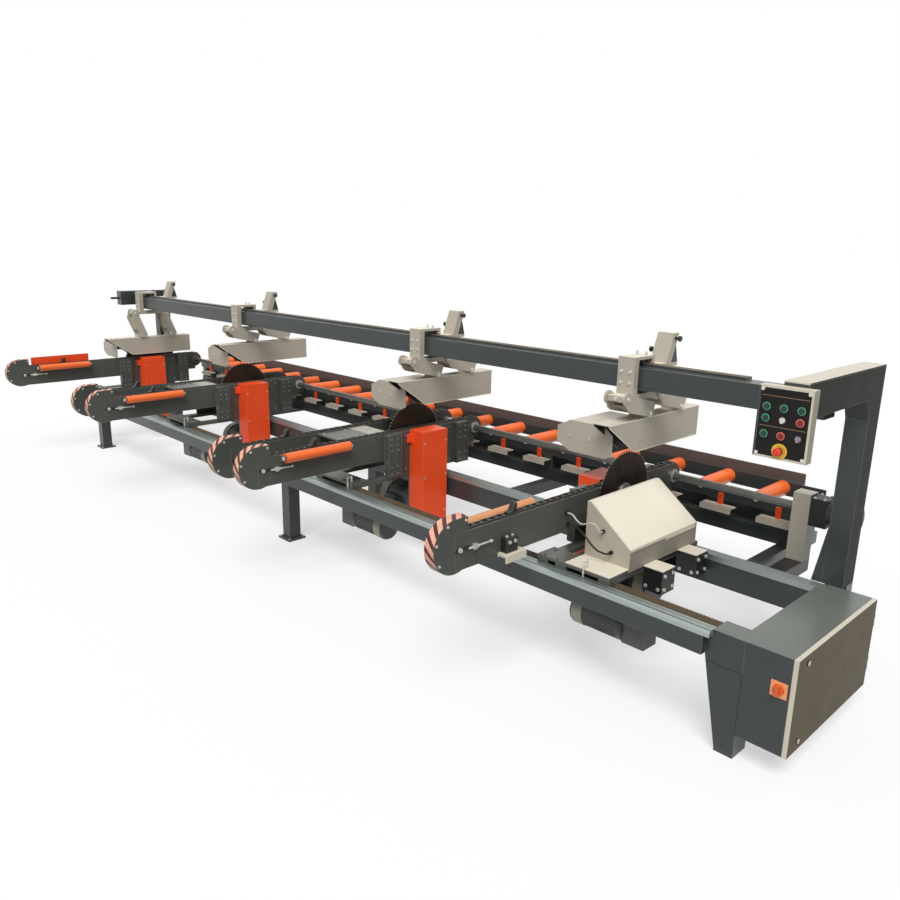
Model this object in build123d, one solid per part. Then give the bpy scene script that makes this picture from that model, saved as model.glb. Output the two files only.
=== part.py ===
# Multi-blade cross-cut (trimming) saw: four saw heads on a long base, hold-down hoods on an
# overhead beam, lugged feed chains that carry boards past the blades to a roller conveyor.
# Frame: +X along the machine towards the electrical cabinet, +Y from the infeed side to the
# conveyor, +Z up, origin under the middle of the machine on the floor. Millimetres.
import math
import os

from build123d import *

# Clearances
RUN = 0.05           # radial clearance of a pin or journal in its bore
GAP = 0.3            # clearance between parts that slide on each other
KEY_GAP = 0.3        # clearance of a hexagon shaft in a hexagon bore

# Base
BASE_LEFT = -3726.0  # left end of the machine
BASE_RIGHT = 3791.5  # right end of the cabinet box, behind its door
RAIL_TOP = 550.0
RAIL_HEIGHT = 30.0
RAIL_WIDTH = 65.0
RAIL_ROUND = 22.0
RACK_WIDTH = 60.0
RACK_HEIGHT = 22.0
RACK_SPACE = 12.0
FRONT_BEAM_Y = -470.0
FRONT_BEAM_DEPTH = 150.0
FRONT_BEAM_HEIGHT = 88.0
BAY_DEPTH = 649.0
REAR_BEAM_DEPTH = 121.0
REAR_BEAM_HEIGHT = 130.0
LEG_SIZE = 90.0
LEG_SETBACK = 30.0   # front of a leg behind the front of its beam
FOOT_SIZE = 140.0
FOOT_THICK = 14.0
MIDDLE_LEG_X = 148.0
LEFT_LEG_X = -3336.0
LEFT_TIE_X = -2846.0
TIE_HEIGHT = 60.0
TIE_WIDTH = 60.0
PEDESTAL_TOP_WIDTH = 145.0
PEDESTAL_SHOULDER = 27.0  # end post under the ends of the rail and the rack
PEDESTAL_FOOT_WIDTH = 87.0
PEDESTAL_DEPTH = 115.0
PEDESTAL_PROUD = 2.0  # front of the end post ahead of the cabinet
END_BAR_WIDTH = 33.0

# Electrical cabinet
CABINET_WIDTH = 198.0
CABINET_DEPTH = 840.0
CABINET_LAP = 6.0    # cabinet under the right column
CABINET_BOTTOM = 113.0
SHEET = 4.0
DOOR_THICK = 20.0
DOOR_GAP = 0.5
LOCK_R = 11.0
LOCK_PROUD = 4.0
LOCK_IN = 95.0       # lock from the door's front edge
LOCK_EDGE = 42.0     # lock from the door's top or bottom edge
HINGE_PIN_R = 4.0
HINGE_BARREL_R = 9.0
HINGE_SPACE = 1.0    # between a hinge collar and the door's edge
HINGE_LENGTH = 60.0
SWITCH_Z = 401.0
SWITCH_FROM_DOOR = 44.0
SWITCH_R = 22.0
SWITCH_SHAFT_R = 5.0
SWITCH_DISC = 12.0
SWITCH_PROUD = 30.0
SWITCH_GRIP = 12.0

# Gantry
COLUMN_WIDTH = 100.0
COLUMN_DEPTH = 126.0
COLUMN_Y = 399.0
COLUMN_X = 3559.0    # left face of the right column
RIGHT_ARM_Z = 1460.0
ARM_DEPTH_Z = 142.0
RIGHT_ARM_FRONT = -299.0
LEFT_ARM_FRONT = 0.0
LEFT_ARM_Z = 1415.0
ARM_COVER = 6.0
BEAM_Y = 150.0
BEAM_DEPTH = 115.0
BEAM_Z = 1385.0
BEAM_HEIGHT = 115.0
BEAM_PLATE = 20.0
TOP_RAIL_WIDTH = 55.0
TOP_RAIL_HEIGHT = 14.0
TOP_RAIL_END = 3164.0
ADJUSTER_R = 12.0
ADJUSTER_LENGTH = 85.0

# Control box
BOX_WIDTH = 214.0
BOX_HEIGHT = 287.0
BOX_DEPTH = 48.0
BOX_BOTTOM = 1302.0
BOX_LEFT = 3485.0
PANEL_THICK = 5.0
PANEL_MARGIN = 9.0
BUTTON_R = 11.0
BEZEL_R = 16.0
BEZEL_PROUD = 4.0
BUTTON_PROUD = 9.0
BUTTON_TRAVEL = 4.0
BUTTON_TAIL = 8.0    # behind the panel
SELECTOR_GRIP = 8.0
BUTTON_PITCH_X = 68.0
ROW_1 = 82.0         # rows below the top of the box
ROW_2 = 128.0
ROW_3 = 191.0
STOP_ROW = 253.0
STOP_R = 16.0
STOP_RING_R = 21.0
STOP_STEM_R = 11.0
STOP_PROUD = 32.0
STOP_TAIL = 12.0

# Saw heads: X is the right face of each head's main chain arm
HEAD_1_X = 2542.0
HEAD_2_X = 899.0
HEAD_3_X = -1406.0
HEAD_4_X = -3486.0
ARM_WIDTH = 60.0
ARM_SPACING = 310.0
CHEEK = 6.0
CHAIN_TOP = 882.0
CHAIN_THICK = 12.0
CHAIN_WIDTH = 30.0
SPROCKET_R = 70.0
IDLER_Y = -1080.0
NOSE_R = 128.0
NOSE_Y = -1078.0
NOSE_Z = 815.0
NOSE_FLAT = 78.0     # raised top behind the middle of the nose
ARM_BOTTOM = 696.0
ARM_TOP = 874.0
NOSE_BAND = 4.0
STRIP_THICK = 12.0
LUG_Y = -690.0
LUG_HEIGHT = 46.0
LUG_LENGTH = 34.0
SHAFT_Y = 710.0
SHAFT_FLATS = 38.0
SLEEVE_R = 28.0
SLEEVE_RING_R = 40.0
SLEEVE_RING = 12.0
TOOTH_WIDTH = 16.0

# Saw blades and spindles
BLADE_R = 235.0
BLADE_THICK = 5.0
BLADE_Y = 186.0
BLADE_Z = 808.0
BLADE_SIDE = 15.0    # blade plane to the arm cheek beside it
FLANGE_R = 55.0
FLANGE_THICK = 12.0
SPINDLE_R = 20.0
HOUSING_R = 33.0
HOUSING_PROUD = 18.0
PULLEY_R = 55.0
PULLEY_WIDTH = 50.0

# Carriages
SHOE_THICK = 25.0
SHOE_LAP = 12.0    # how far a shoe reaches over the front rail from behind
SIDE_PLATE = 12.0
PLATE_FRONT = -135.0
PLATE_REAR = 605.0
UPRIGHT_DEPTH = 110.0
UPRIGHT_WIDTH = 28.0
CROSS_THICK = 15.0
CROSS_DEPTH = 132.0
SHOE_WIDTH = 62.0
MOTOR_R = 105.0
MOTOR_LENGTH = 320.0
END_MOTOR_LENGTH = 225.0
MOTOR_Z = 340.0
TRAVEL_MOTOR_R = 72.0
TRAVEL_MOTOR_LENGTH = 300.0
TRAVEL_MOTOR_DROP = 8.0
TRAVEL_MOTOR_SETBACK = 20.0
GEARBOX_SIZE = 120.0
GEARBOX_OFFSET = 60.0
COVER_GEARBOX = 139.0
HANGER = 18.0
TABLE_FRONT = -450.0
TABLE_REAR = -60.0
TABLE_THICK = 10.0
TABLE_DROP = 14.0    # table top below the chain top
BEARING_WIDTH = 110.0
BEARING_DEPTH = 115.0
BEARING_HEIGHT = 120.0
BEARING_FRONT = -128.0
BEARING_PITCH = 318.0

# Guards and covers
GUARD_DEPTH = 220.0
GUARD_WIDTH = 138.0
GUARD_TOP = 880.0
GUARD_BOTTOM = 225.0
GUARD_SHEET = 3.0
COVER_FRONT = -255.0
COVER_DEPTH = 620.0
COVER_WIDTH = 265.0
COVER_OFFSET = 98.0
COVER_TOP = 876.0
COVER_EAVE = 690.0
COVER_RIDGE = 20.0
COVER_FOOT = 160.0
PALE_LEAD_R = 4.0
DARK_LEAD_R = 5.0
GLAND_R = 10.0
GLAND_LENGTH = 14.0
LEAD_BEND = 0.45     # share of the shorter run that a bend takes
FENCE_FRONT = -961.0
FENCE_LENGTH = 545.0
FENCE_TOP = 950.0
FENCE_THICK = 6.0

# Load rollers
ROLLER_FRONT = -920.0
ROLLER_LENGTH = 470.0
ROLLER_R = 30.0
ROLLER_AXLE_R = 8.0
ROLLER_OFFSET = 40.0
ROLLER_PROUD = 3.0
ROLLER_PLATE = 10.0

# Hold-downs: the links swing from hanging to raised
LINK_LENGTH = 235.0
LINK_LOW = 10.0
LINK_HIGH = 65.0
LINK_THICK = 12.0
LINK_WIDTH = 70.0    # at the upper pin
LINK_TIP = 36.0      # width at the hood pin
LINK_PIN_R = 10.0
LINK_WEB = 8.0
LINK_WEB_START = 60.0
LINK_WEB_LENGTH = 110.0
LINK_SIDE = 2.0      # between a link and the bracket or lug beside it
PIVOT_Z = 1345.0
PIVOT_FRONT = 50.0
PIVOT_PITCH = 320.0
BRACKET_WIDTH = 100.0
BRACKET_HEIGHT = 30.0
BRACKET_END = 20.0
POST_THICK = 40.0
POST_SPACE = 5.0
CLAMP_THICK = 40.0
CLAMP_PLATE = 16.0
CLAMP_PAD = 50.0
REAR_PLATE = 20.0
WEDGE_HEIGHT = 155.0
WEDGE_BAR = 48.0     # depth of the leaning bar
WEDGE_LEAN = 58.0
GUSSET_DEPTH = 62.0
GUSSET_HEIGHT = 95.0
WEDGE_DROP = 54.0    # foot of the leaning bar below the top of the clamp
WEDGE_SETBACK = 115.0
HOOD_WIDTH = 100.0
HOOD_RIGHT = 75.0    # right face of the hood right of the arm's right face
HOOD_LENGTH = 880.0
HOOD_HEIGHT = 175.0
HOOD_CHAMFER = 240.0
HOOD_SHEET = 4.0
HOOD_LEAD = 343.0    # front of the hood ahead of its front pin
LUG_END = 25.0
LUG_RISE = 22.0      # hood pin above the hood's top
COVER_L_WIDTH = 305.0
COVER_L_LAP = 55.0    # front plate of the left cover in front of the hood
COVER_L_HEIGHT = 172.0
COVER_L_LENGTH = 365.0
COVER_L_FRONT = 100.0
PRESS_3_SHIFT = -65.0
COVER_L_DROP = 30.0  # left cover's bottom below the hood's
COVER_L_CHAMFER_X = 85.0
COVER_L_CHAMFER_Z = 42.0

# Conveyor and chain drive
CONVEYOR_FRONT = 815.0
CONVEYOR_WIDTH = 346.0
CONVEYOR_LEFT = -3546.0
CONVEYOR_RIGHT = 3254.0
CONVEYOR_RAIL = 6.0
CONVEYOR_RAIL_Z = 700.0
CONVEYOR_RAIL_HEIGHT = 85.0
CONVEYOR_ROLLER_R = 44.0
CONVEYOR_ROLLER_Z = 745.0
CONVEYOR_SPANS = 4
CONVEYOR_PITCH = 340.0
CONVEYOR_FIRST = 3010.0
CONVEYOR_END = 90.0  # least rail left of the last roller
CONVEYOR_PLAY = 2.0  # between a roller and the rail beside it
CONVEYOR_AXLE_R = 10.0
CONVEYOR_BEAM = 80.0
CONVEYOR_WEB = 8.0
CONVEYOR_WEB_HEIGHT = 90.0
OUTRIGGER = 70.0
OUTRIGGER_END = 1206.0
CONVEYOR_FENCE_Z = 755.0
CONVEYOR_FENCE_HEIGHT = 88.0
CONVEYOR_FENCE_THICK = 8.0
CONVEYOR_FENCE_OFF = 29.0
CONVEYOR_FENCE_RIGHT = 3117.0
DRIVE_POST_X = 3269.0
DRIVE_POST_SIZE = 90.0
DRIVE_POST_RISE = 85.0
JOURNAL_R = 16.0
GEARBOX_WIDTH = 90.0
GEARBOX_HEIGHT = 150.0
GEAR_MOTOR_R = 65.0
GEAR_MOTOR_LENGTH = 140.0

# Derived places
REAR_BEAM_Y = FRONT_BEAM_Y + FRONT_BEAM_DEPTH + BAY_DEPTH
BEAM_TOP = RAIL_TOP - RAIL_HEIGHT
FRONT_BEAM_BOTTOM = BEAM_TOP - FRONT_BEAM_HEIGHT
REAR_BEAM_BOTTOM = BEAM_TOP - REAR_BEAM_HEIGHT
REAR_BEAM_END = REAR_BEAM_Y + REAR_BEAM_DEPTH
CABINET_LEFT = BASE_RIGHT - CABINET_WIDTH
CABINET_REAR = COLUMN_Y + CABINET_LAP
CABINET_FRONT = CABINET_REAR - CABINET_DEPTH
CHAIN_R = SPROCKET_R + CHAIN_THICK
CHAIN_AXIS_Z = CHAIN_TOP - CHAIN_R
SHOE_Z = RAIL_TOP + GAP
SHOE_FRONT = FRONT_BEAM_Y + RAIL_WIDTH - SHOE_LAP
CARRIAGE_Z = SHOE_Z + SHOE_THICK
BRACKET_LOW = PIVOT_Z - BRACKET_HEIGHT / 2
TOP_RAIL_TOP = BEAM_Z + BEAM_HEIGHT + TOP_RAIL_HEIGHT
LEFT_COLUMN_X = BASE_LEFT
LEFT_ARM_RIGHT = LEFT_COLUMN_X + COLUMN_WIDTH
CONVEYOR_ROLLERS = int((CONVEYOR_FIRST - CONVEYOR_LEFT - CONVEYOR_END) // CONVEYOR_PITCH) + 1
TRAVEL_MOTOR_Z = FRONT_BEAM_BOTTOM - TRAVEL_MOTOR_DROP - TRAVEL_MOTOR_R
TRAVEL_MOTOR_Y = FRONT_BEAM_Y + FRONT_BEAM_DEPTH - TRAVEL_MOTOR_SETBACK
HEAD_X = {1: HEAD_1_X, 2: HEAD_2_X, 3: HEAD_3_X, 4: HEAD_4_X}
TWO_ARM_HEADS = (2, 3)


def block(x0, x1, y0, y1, z0, z1):
    """A box between two corners."""
    low = (Align.MIN, Align.MIN, Align.MIN)
    return Pos(x0, y0, z0) * Box(x1 - x0, y1 - y0, z1 - z0, align=low)


def rod_x(y, z, radius, x0, x1):
    """A cylinder along X."""
    base = (Align.CENTER, Align.CENTER, Align.MIN)
    return Pos(x0, y, z) * Rot(0, 90, 0) * Cylinder(radius, x1 - x0, align=base)


def rod_y(x, z, radius, y0, y1):
    """A cylinder along Y."""
    base = (Align.CENTER, Align.CENTER, Align.MIN)
    return Pos(x, y0, z) * Rot(-90, 0, 0) * Cylinder(radius, y1 - y0, align=base)


def rod_z(x, y, radius, z0, z1):
    """A cylinder along Z."""
    base = (Align.CENTER, Align.CENTER, Align.MIN)
    return Pos(x, y, z0) * Cylinder(radius, z1 - z0, align=base)


def plate_x(points, x0, x1):
    """A plate of a (y, z) outline between two X planes."""
    outline = make_face(Polyline(*points, close=True))
    return extrude(Plane.YZ.offset(x0) * outline, amount=x1 - x0)


def plate_y(points, y0, y1):
    """A plate of an (x, z) outline between two Y planes."""
    outline = make_face(Polyline(*points, close=True))
    return extrude(Plane.XZ.offset(-y0) * outline, amount=y0 - y1)


def hexagon_x(y, z, flats, x0, x1):
    """A hexagonal bar along X."""
    outline = Pos(y, z) * RegularPolygon(flats / 2, 6, major_radius=False)
    return extrude(Plane.YZ.offset(x0) * outline, amount=x1 - x0)


def save(name, *solids):
    """Write one node, as one solid or as a group of separate solids."""
    shapes = []
    for solid in solids:
        shapes.extend(solid.solids())
    whole = Compound(shapes) if len(shapes) > 1 else shapes[0]
    export_step(whole, os.path.join("parts", name + ".step"))


# Base frame, rails and cabinet

def foot_post(x, y, width, depth, top):
    """A square leg on its foot plate."""
    post = block(x - width / 2, x + width / 2, y, y + depth, FOOT_THICK, top)
    middle = y + depth / 2
    foot = block(x - FOOT_SIZE / 2, x + FOOT_SIZE / 2, middle - FOOT_SIZE / 2, middle + FOOT_SIZE / 2,
                 0, FOOT_THICK)
    return [post, foot]


def base_frame():
    """Beams, legs, ties between the beams and the end frame beside the cabinet."""
    rail_end = CABINET_LEFT - PEDESTAL_TOP_WIDTH
    pedestal_left = rail_end - PEDESTAL_SHOULDER
    front_back = FRONT_BEAM_Y + FRONT_BEAM_DEPTH
    pieces = [
        block(BASE_LEFT, pedestal_left, FRONT_BEAM_Y, front_back, FRONT_BEAM_BOTTOM, BEAM_TOP),
        block(BASE_LEFT, CABINET_LEFT, REAR_BEAM_Y, REAR_BEAM_END, REAR_BEAM_BOTTOM, BEAM_TOP),
    ]
    leg_y = FRONT_BEAM_Y + LEG_SETBACK
    rear_leg_y = REAR_BEAM_Y + (REAR_BEAM_DEPTH - LEG_SIZE) / 2
    for x in (LEFT_LEG_X, MIDDLE_LEG_X):
        pieces += foot_post(x, leg_y, LEG_SIZE, LEG_SIZE, FRONT_BEAM_BOTTOM)
        pieces += foot_post(x, rear_leg_y, LEG_SIZE, LEG_SIZE, REAR_BEAM_BOTTOM)
    for x in (LEFT_TIE_X, MIDDLE_LEG_X):
        pieces.append(block(x - TIE_WIDTH / 2, x + TIE_WIDTH / 2, front_back, REAR_BEAM_Y,
                            BEAM_TOP - TIE_HEIGHT, BEAM_TOP))
    foot_left = CABINET_LEFT - PEDESTAL_FOOT_WIDTH
    pedestal = [(rail_end, RAIL_TOP), (CABINET_LEFT, RAIL_TOP), (CABINET_LEFT, FOOT_THICK),
                (foot_left, FOOT_THICK), (pedestal_left, FRONT_BEAM_BOTTOM), (pedestal_left, BEAM_TOP),
                (rail_end, BEAM_TOP)]
    pedestal_back = CABINET_FRONT + PEDESTAL_DEPTH
    pedestal_front = CABINET_FRONT - PEDESTAL_PROUD
    pieces.append(plate_y(pedestal, pedestal_front, pedestal_back))
    pieces.append(block(foot_left, CABINET_LEFT, pedestal_front, pedestal_back, 0, FOOT_THICK))
    pieces.append(block(CABINET_LEFT - END_BAR_WIDTH, CABINET_LEFT, pedestal_back, REAR_BEAM_Y,
                        FRONT_BEAM_BOTTOM, RAIL_TOP))
    for x in (LEFT_COLUMN_X, COLUMN_X):
        pieces.append(block(x, x + COLUMN_WIDTH, max(COLUMN_Y, REAR_BEAM_END), COLUMN_Y + COLUMN_DEPTH,
                            0, RAIL_TOP))
    return pieces


def guide_rails():
    """Ground rails on both beams and the travel rack behind the front rail."""
    right = CABINET_LEFT - PEDESTAL_TOP_WIDTH
    front = block(BASE_LEFT, right, FRONT_BEAM_Y, FRONT_BEAM_Y + RAIL_WIDTH, BEAM_TOP, RAIL_TOP)
    nose = front.edges().filter_by(Axis.X).group_by(Axis.Z)[-1].sort_by(Axis.Y)[0]
    front = fillet(nose, RAIL_ROUND)
    rack_y = FRONT_BEAM_Y + RAIL_WIDTH + RACK_SPACE
    rack = block(BASE_LEFT, right, rack_y, rack_y + RACK_WIDTH, BEAM_TOP, BEAM_TOP + RACK_HEIGHT)
    rear = block(BASE_LEFT, CABINET_LEFT, REAR_BEAM_Y, REAR_BEAM_Y + RAIL_WIDTH, BEAM_TOP, RAIL_TOP)
    return [front, rack, rear]


def cabinet_shell():
    """Five sheet walls, open towards the door, with hinge pins on the rear wall."""
    x0, x1 = CABINET_LEFT, BASE_RIGHT
    y0, y1 = CABINET_FRONT, CABINET_REAR
    z0, z1 = CABINET_BOTTOM, RAIL_TOP
    front = block(x0, x1, y0, y0 + SHEET, z0, z1)
    switch_x = BASE_RIGHT - SWITCH_FROM_DOOR
    front -= rod_y(switch_x, SWITCH_Z, SWITCH_SHAFT_R + RUN, y0 - SHEET, y0 + 2 * SHEET)
    rear = block(x0, x1, y1 - SHEET, y1, z0, z1)
    back = block(x0, x0 + SHEET, y0 + SHEET, y1 - SHEET, z0, z1)
    floor = block(x0 + SHEET, x1, y0 + SHEET, y1 - SHEET, z0, z0 + SHEET)
    top = block(x0 + SHEET, x1, y0 + SHEET, y1 - SHEET, z1 - SHEET, z1)
    pieces = [front, rear, back, floor, top]
    for z in hinge_heights():
        pin = rod_z(hinge_x(), hinge_y(), HINGE_PIN_R, z - HINGE_LENGTH / 2, z + HINGE_LENGTH / 2)
        for end in (-1, 1):
            middle = z + end * HINGE_LENGTH * 3 / 8
            half = HINGE_LENGTH / 8
            collar = rod_z(hinge_x(), hinge_y(), HINGE_BARREL_R, middle - half, middle + half)
            leaf_x = BASE_RIGHT - 2 * HINGE_BARREL_R
            leaf_y = y1 + HINGE_SPACE
            pad = block(leaf_x, BASE_RIGHT, y1, leaf_y, middle - half, middle + half)
            leaf = block(leaf_x, hinge_x(), leaf_y, leaf_y + HINGE_BARREL_R / 2, middle - half,
                         middle + half)
            pin += collar + leaf + pad
        pieces.append(pin)
    return pieces


def hinge_x():
    return BASE_RIGHT + DOOR_GAP + DOOR_THICK / 2


def hinge_y():
    return CABINET_REAR + HINGE_BARREL_R + HINGE_SPACE


def hinge_heights():
    third = (RAIL_TOP - CABINET_BOTTOM) / 4
    return CABINET_BOTTOM + third, RAIL_TOP - third


def cabinet_door():
    """A pan door with two hinge barrels and two quarter-turn locks."""
    x0 = BASE_RIGHT + DOOR_GAP
    x1 = x0 + DOOR_THICK
    door = block(x0, x1, CABINET_FRONT, CABINET_REAR, CABINET_BOTTOM, RAIL_TOP)
    door -= block(x0, x1 - SHEET, CABINET_FRONT + SHEET, CABINET_REAR - SHEET, CABINET_BOTTOM + SHEET,
                  RAIL_TOP - SHEET)
    quarter = HINGE_LENGTH / 4 - GAP
    for z in hinge_heights():
        barrel = rod_z(hinge_x(), hinge_y(), HINGE_BARREL_R, z - quarter, z + quarter)
        leaf = block(hinge_x() - HINGE_BARREL_R / 2, hinge_x() + HINGE_BARREL_R / 2, CABINET_REAR - SHEET,
                     hinge_y(), z - quarter, z + quarter)
        door += barrel + leaf
        door -= rod_z(hinge_x(), hinge_y(), HINGE_PIN_R + RUN, z - HINGE_LENGTH, z + HINGE_LENGTH)
    for z in (CABINET_BOTTOM + LOCK_EDGE, RAIL_TOP - LOCK_EDGE):
        door += rod_x(CABINET_FRONT + LOCK_IN, z, LOCK_R, x1 - SHEET, x1 + LOCK_PROUD)
    return [door]


def main_switch():
    """Rotary handle on a shaft through the cabinet front."""
    x = BASE_RIGHT - SWITCH_FROM_DOOR
    y = CABINET_FRONT
    disc_front = y - SWITCH_DISC - GAP
    half = SWITCH_GRIP / 2
    knob = rod_y(x, SWITCH_Z, SWITCH_R, disc_front, y - GAP)
    knob += block(x - half, x + half, y - SWITCH_PROUD, disc_front, SWITCH_Z - SWITCH_R, SWITCH_Z + SWITCH_R)
    knob += rod_y(x, SWITCH_Z, SWITCH_SHAFT_R, disc_front, y + 4 * SHEET)
    return [knob]


# Gantry and control box

def gantry_frame():
    """Columns, cantilever arms, the overhead beam and the rail on it."""
    y1 = COLUMN_Y + COLUMN_DEPTH
    beam_y1 = BEAM_Y + BEAM_DEPTH
    beam_top = BEAM_Z + BEAM_HEIGHT
    right_x1 = COLUMN_X + COLUMN_WIDTH
    pieces = [
        block(COLUMN_X, right_x1, COLUMN_Y, y1, RAIL_TOP, RIGHT_ARM_Z),
        block(COLUMN_X, right_x1, RIGHT_ARM_FRONT, y1, RIGHT_ARM_Z, RIGHT_ARM_Z + ARM_DEPTH_Z),
        block(LEFT_COLUMN_X, LEFT_ARM_RIGHT, COLUMN_Y, y1, RAIL_TOP, LEFT_ARM_Z),
        block(LEFT_COLUMN_X, LEFT_ARM_RIGHT, LEFT_ARM_FRONT, y1, LEFT_ARM_Z, LEFT_ARM_Z + ARM_DEPTH_Z),
    ]
    flare = COLUMN_WIDTH * 0.5
    foot = [(COLUMN_X, RAIL_TOP), (COLUMN_X, RAIL_TOP + 6 * flare), (COLUMN_X - flare, RAIL_TOP)]
    pieces.append(plate_y(foot, COLUMN_Y, REAR_BEAM_END))
    knee = [(COLUMN_Y, RIGHT_ARM_Z), (COLUMN_Y, RIGHT_ARM_Z - COLUMN_WIDTH),
            (COLUMN_Y - flare, RIGHT_ARM_Z)]
    pieces.append(plate_x(knee, COLUMN_X, right_x1))
    right_plate = COLUMN_X - BEAM_PLATE
    left_plate = LEFT_ARM_RIGHT + BEAM_PLATE
    pieces += [
        block(left_plate, right_plate, BEAM_Y, beam_y1, BEAM_Z, beam_top),
        block(right_plate, COLUMN_X, BEAM_Y, beam_y1, BEAM_Z, RIGHT_ARM_Z + ARM_DEPTH_Z),
        block(LEFT_ARM_RIGHT, left_plate, BEAM_Y, beam_y1, BEAM_Z, LEFT_ARM_Z + ARM_DEPTH_Z),
        block(left_plate, TOP_RAIL_END, beam_y1 - TOP_RAIL_WIDTH, beam_y1, beam_top, TOP_RAIL_TOP),
    ]
    arm_top = RIGHT_ARM_Z + ARM_DEPTH_Z
    pieces.append(block(COLUMN_X, right_x1, RIGHT_ARM_FRONT, y1, arm_top, arm_top + ARM_COVER))
    screw_x = LEFT_COLUMN_X + COLUMN_WIDTH / 2
    screw_z = LEFT_ARM_Z + ARM_DEPTH_Z / 2
    screw = rod_y(screw_x, screw_z, ADJUSTER_R, LEFT_ARM_FRONT - ADJUSTER_LENGTH, LEFT_ARM_FRONT)
    pieces.append(screw)
    return pieces


def control_box():
    """The housing on the front of the right arm, closed by its face plate."""
    y1 = RIGHT_ARM_FRONT
    y0 = y1 - BOX_DEPTH
    box = block(BOX_LEFT, BOX_LEFT + BOX_WIDTH, y0, y1, BOX_BOTTOM, BOX_BOTTOM + BOX_HEIGHT)
    box -= block(BOX_LEFT + PANEL_MARGIN, BOX_LEFT + BOX_WIDTH - PANEL_MARGIN, y0, y1 - SHEET,
                 BOX_BOTTOM + PANEL_MARGIN, BOX_BOTTOM + BOX_HEIGHT - PANEL_MARGIN)
    return [box, control_panel()]


def panel_x(column):
    return BOX_LEFT + BOX_WIDTH / 2 + column * BUTTON_PITCH_X


def panel_z(row):
    return BOX_BOTTOM + BOX_HEIGHT - row


PANEL_FRONT = RIGHT_ARM_FRONT - BOX_DEPTH
PANEL_BACK = PANEL_FRONT + PANEL_THICK
# Column from the middle and row of each push button and selector
BUTTON_PLACES = [(-1, ROW_1), (0, ROW_1), (1, ROW_1), (-1, ROW_2), (1, ROW_2), (-1, ROW_3), (0, ROW_3)]
SELECTOR_PLACES = [(0, ROW_2), (1, ROW_3)]
STOP_PLACE = (0, STOP_ROW)


def control_panel():
    """The face plate with the collars of the buttons."""
    plate = block(BOX_LEFT + PANEL_MARGIN, BOX_LEFT + BOX_WIDTH - PANEL_MARGIN, PANEL_FRONT, PANEL_BACK,
                  BOX_BOTTOM + PANEL_MARGIN, BOX_BOTTOM + BOX_HEIGHT - PANEL_MARGIN)
    rings = [(place, BEZEL_R, BUTTON_R) for place in BUTTON_PLACES + SELECTOR_PLACES]
    rings.append((STOP_PLACE, STOP_RING_R, STOP_STEM_R))
    ring_front = PANEL_FRONT - BEZEL_PROUD
    for place, ring_r, stem_r in rings:
        x, z = panel_x(place[0]), panel_z(place[1])
        plate += rod_y(x, z, ring_r, ring_front, PANEL_FRONT)
        plate -= rod_y(x, z, stem_r + RUN, ring_front, PANEL_BACK)
    return plate


def push_button(place):
    x, z = panel_x(place[0]), panel_z(place[1])
    return [rod_y(x, z, BUTTON_R, PANEL_FRONT - BUTTON_PROUD, PANEL_BACK + BUTTON_TAIL)]


def selector(place):
    """A turning knob with a grip bar."""
    x, z = panel_x(place[0]), panel_z(place[1])
    front = PANEL_FRONT - BUTTON_PROUD
    knob = rod_y(x, z, BUTTON_R, front, PANEL_BACK + BUTTON_TAIL)
    grip = SELECTOR_GRIP / 2
    return [knob + block(x - grip, x + grip, front - BUTTON_PROUD, front, z - BUTTON_R, z + BUTTON_R)]


def emergency_stop():
    """A mushroom button on its stem."""
    x, z = panel_x(STOP_PLACE[0]), panel_z(STOP_PLACE[1])
    cap_back = PANEL_FRONT - BEZEL_PROUD - 2 * BUTTON_TRAVEL
    cap = rod_y(x, z, STOP_R, PANEL_FRONT - STOP_PROUD, cap_back)
    rim = cap.edges().filter_by(GeomType.CIRCLE).sort_by(Axis.Y)[0]
    cap = fillet(rim, STOP_R * 0.4)
    return [cap + rod_y(x, z, STOP_STEM_R, cap_back, PANEL_BACK + STOP_TAIL)]


# Chain arms

def arm_cheek(x0, x1):
    """One side plate of a chain arm: a straight body with a round tail, and a raised round nose."""
    body = block(x0, x1, NOSE_Y, SHAFT_Y, ARM_BOTTOM, ARM_TOP)
    tail_r = ARM_TOP - CHAIN_AXIS_Z
    cheek = body + rod_x(SHAFT_Y, CHAIN_AXIS_Z, tail_r, x0, x1)
    cheek -= rod_x(SHAFT_Y, CHAIN_AXIS_Z, SLEEVE_R + RUN, x0 - CHEEK, x1 + CHEEK)
    nose_top, nose_end = NOSE_Z + NOSE_R, NOSE_Y + NOSE_FLAT
    nose = rod_x(NOSE_Y, NOSE_Z, NOSE_R, x0, x1) + block(x0, x1, NOSE_Y, nose_end, NOSE_Z, nose_top)
    nose -= block(x0, x1, nose_end, nose_end + NOSE_R, NOSE_Z, nose_top)
    return cheek, nose - body


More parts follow.
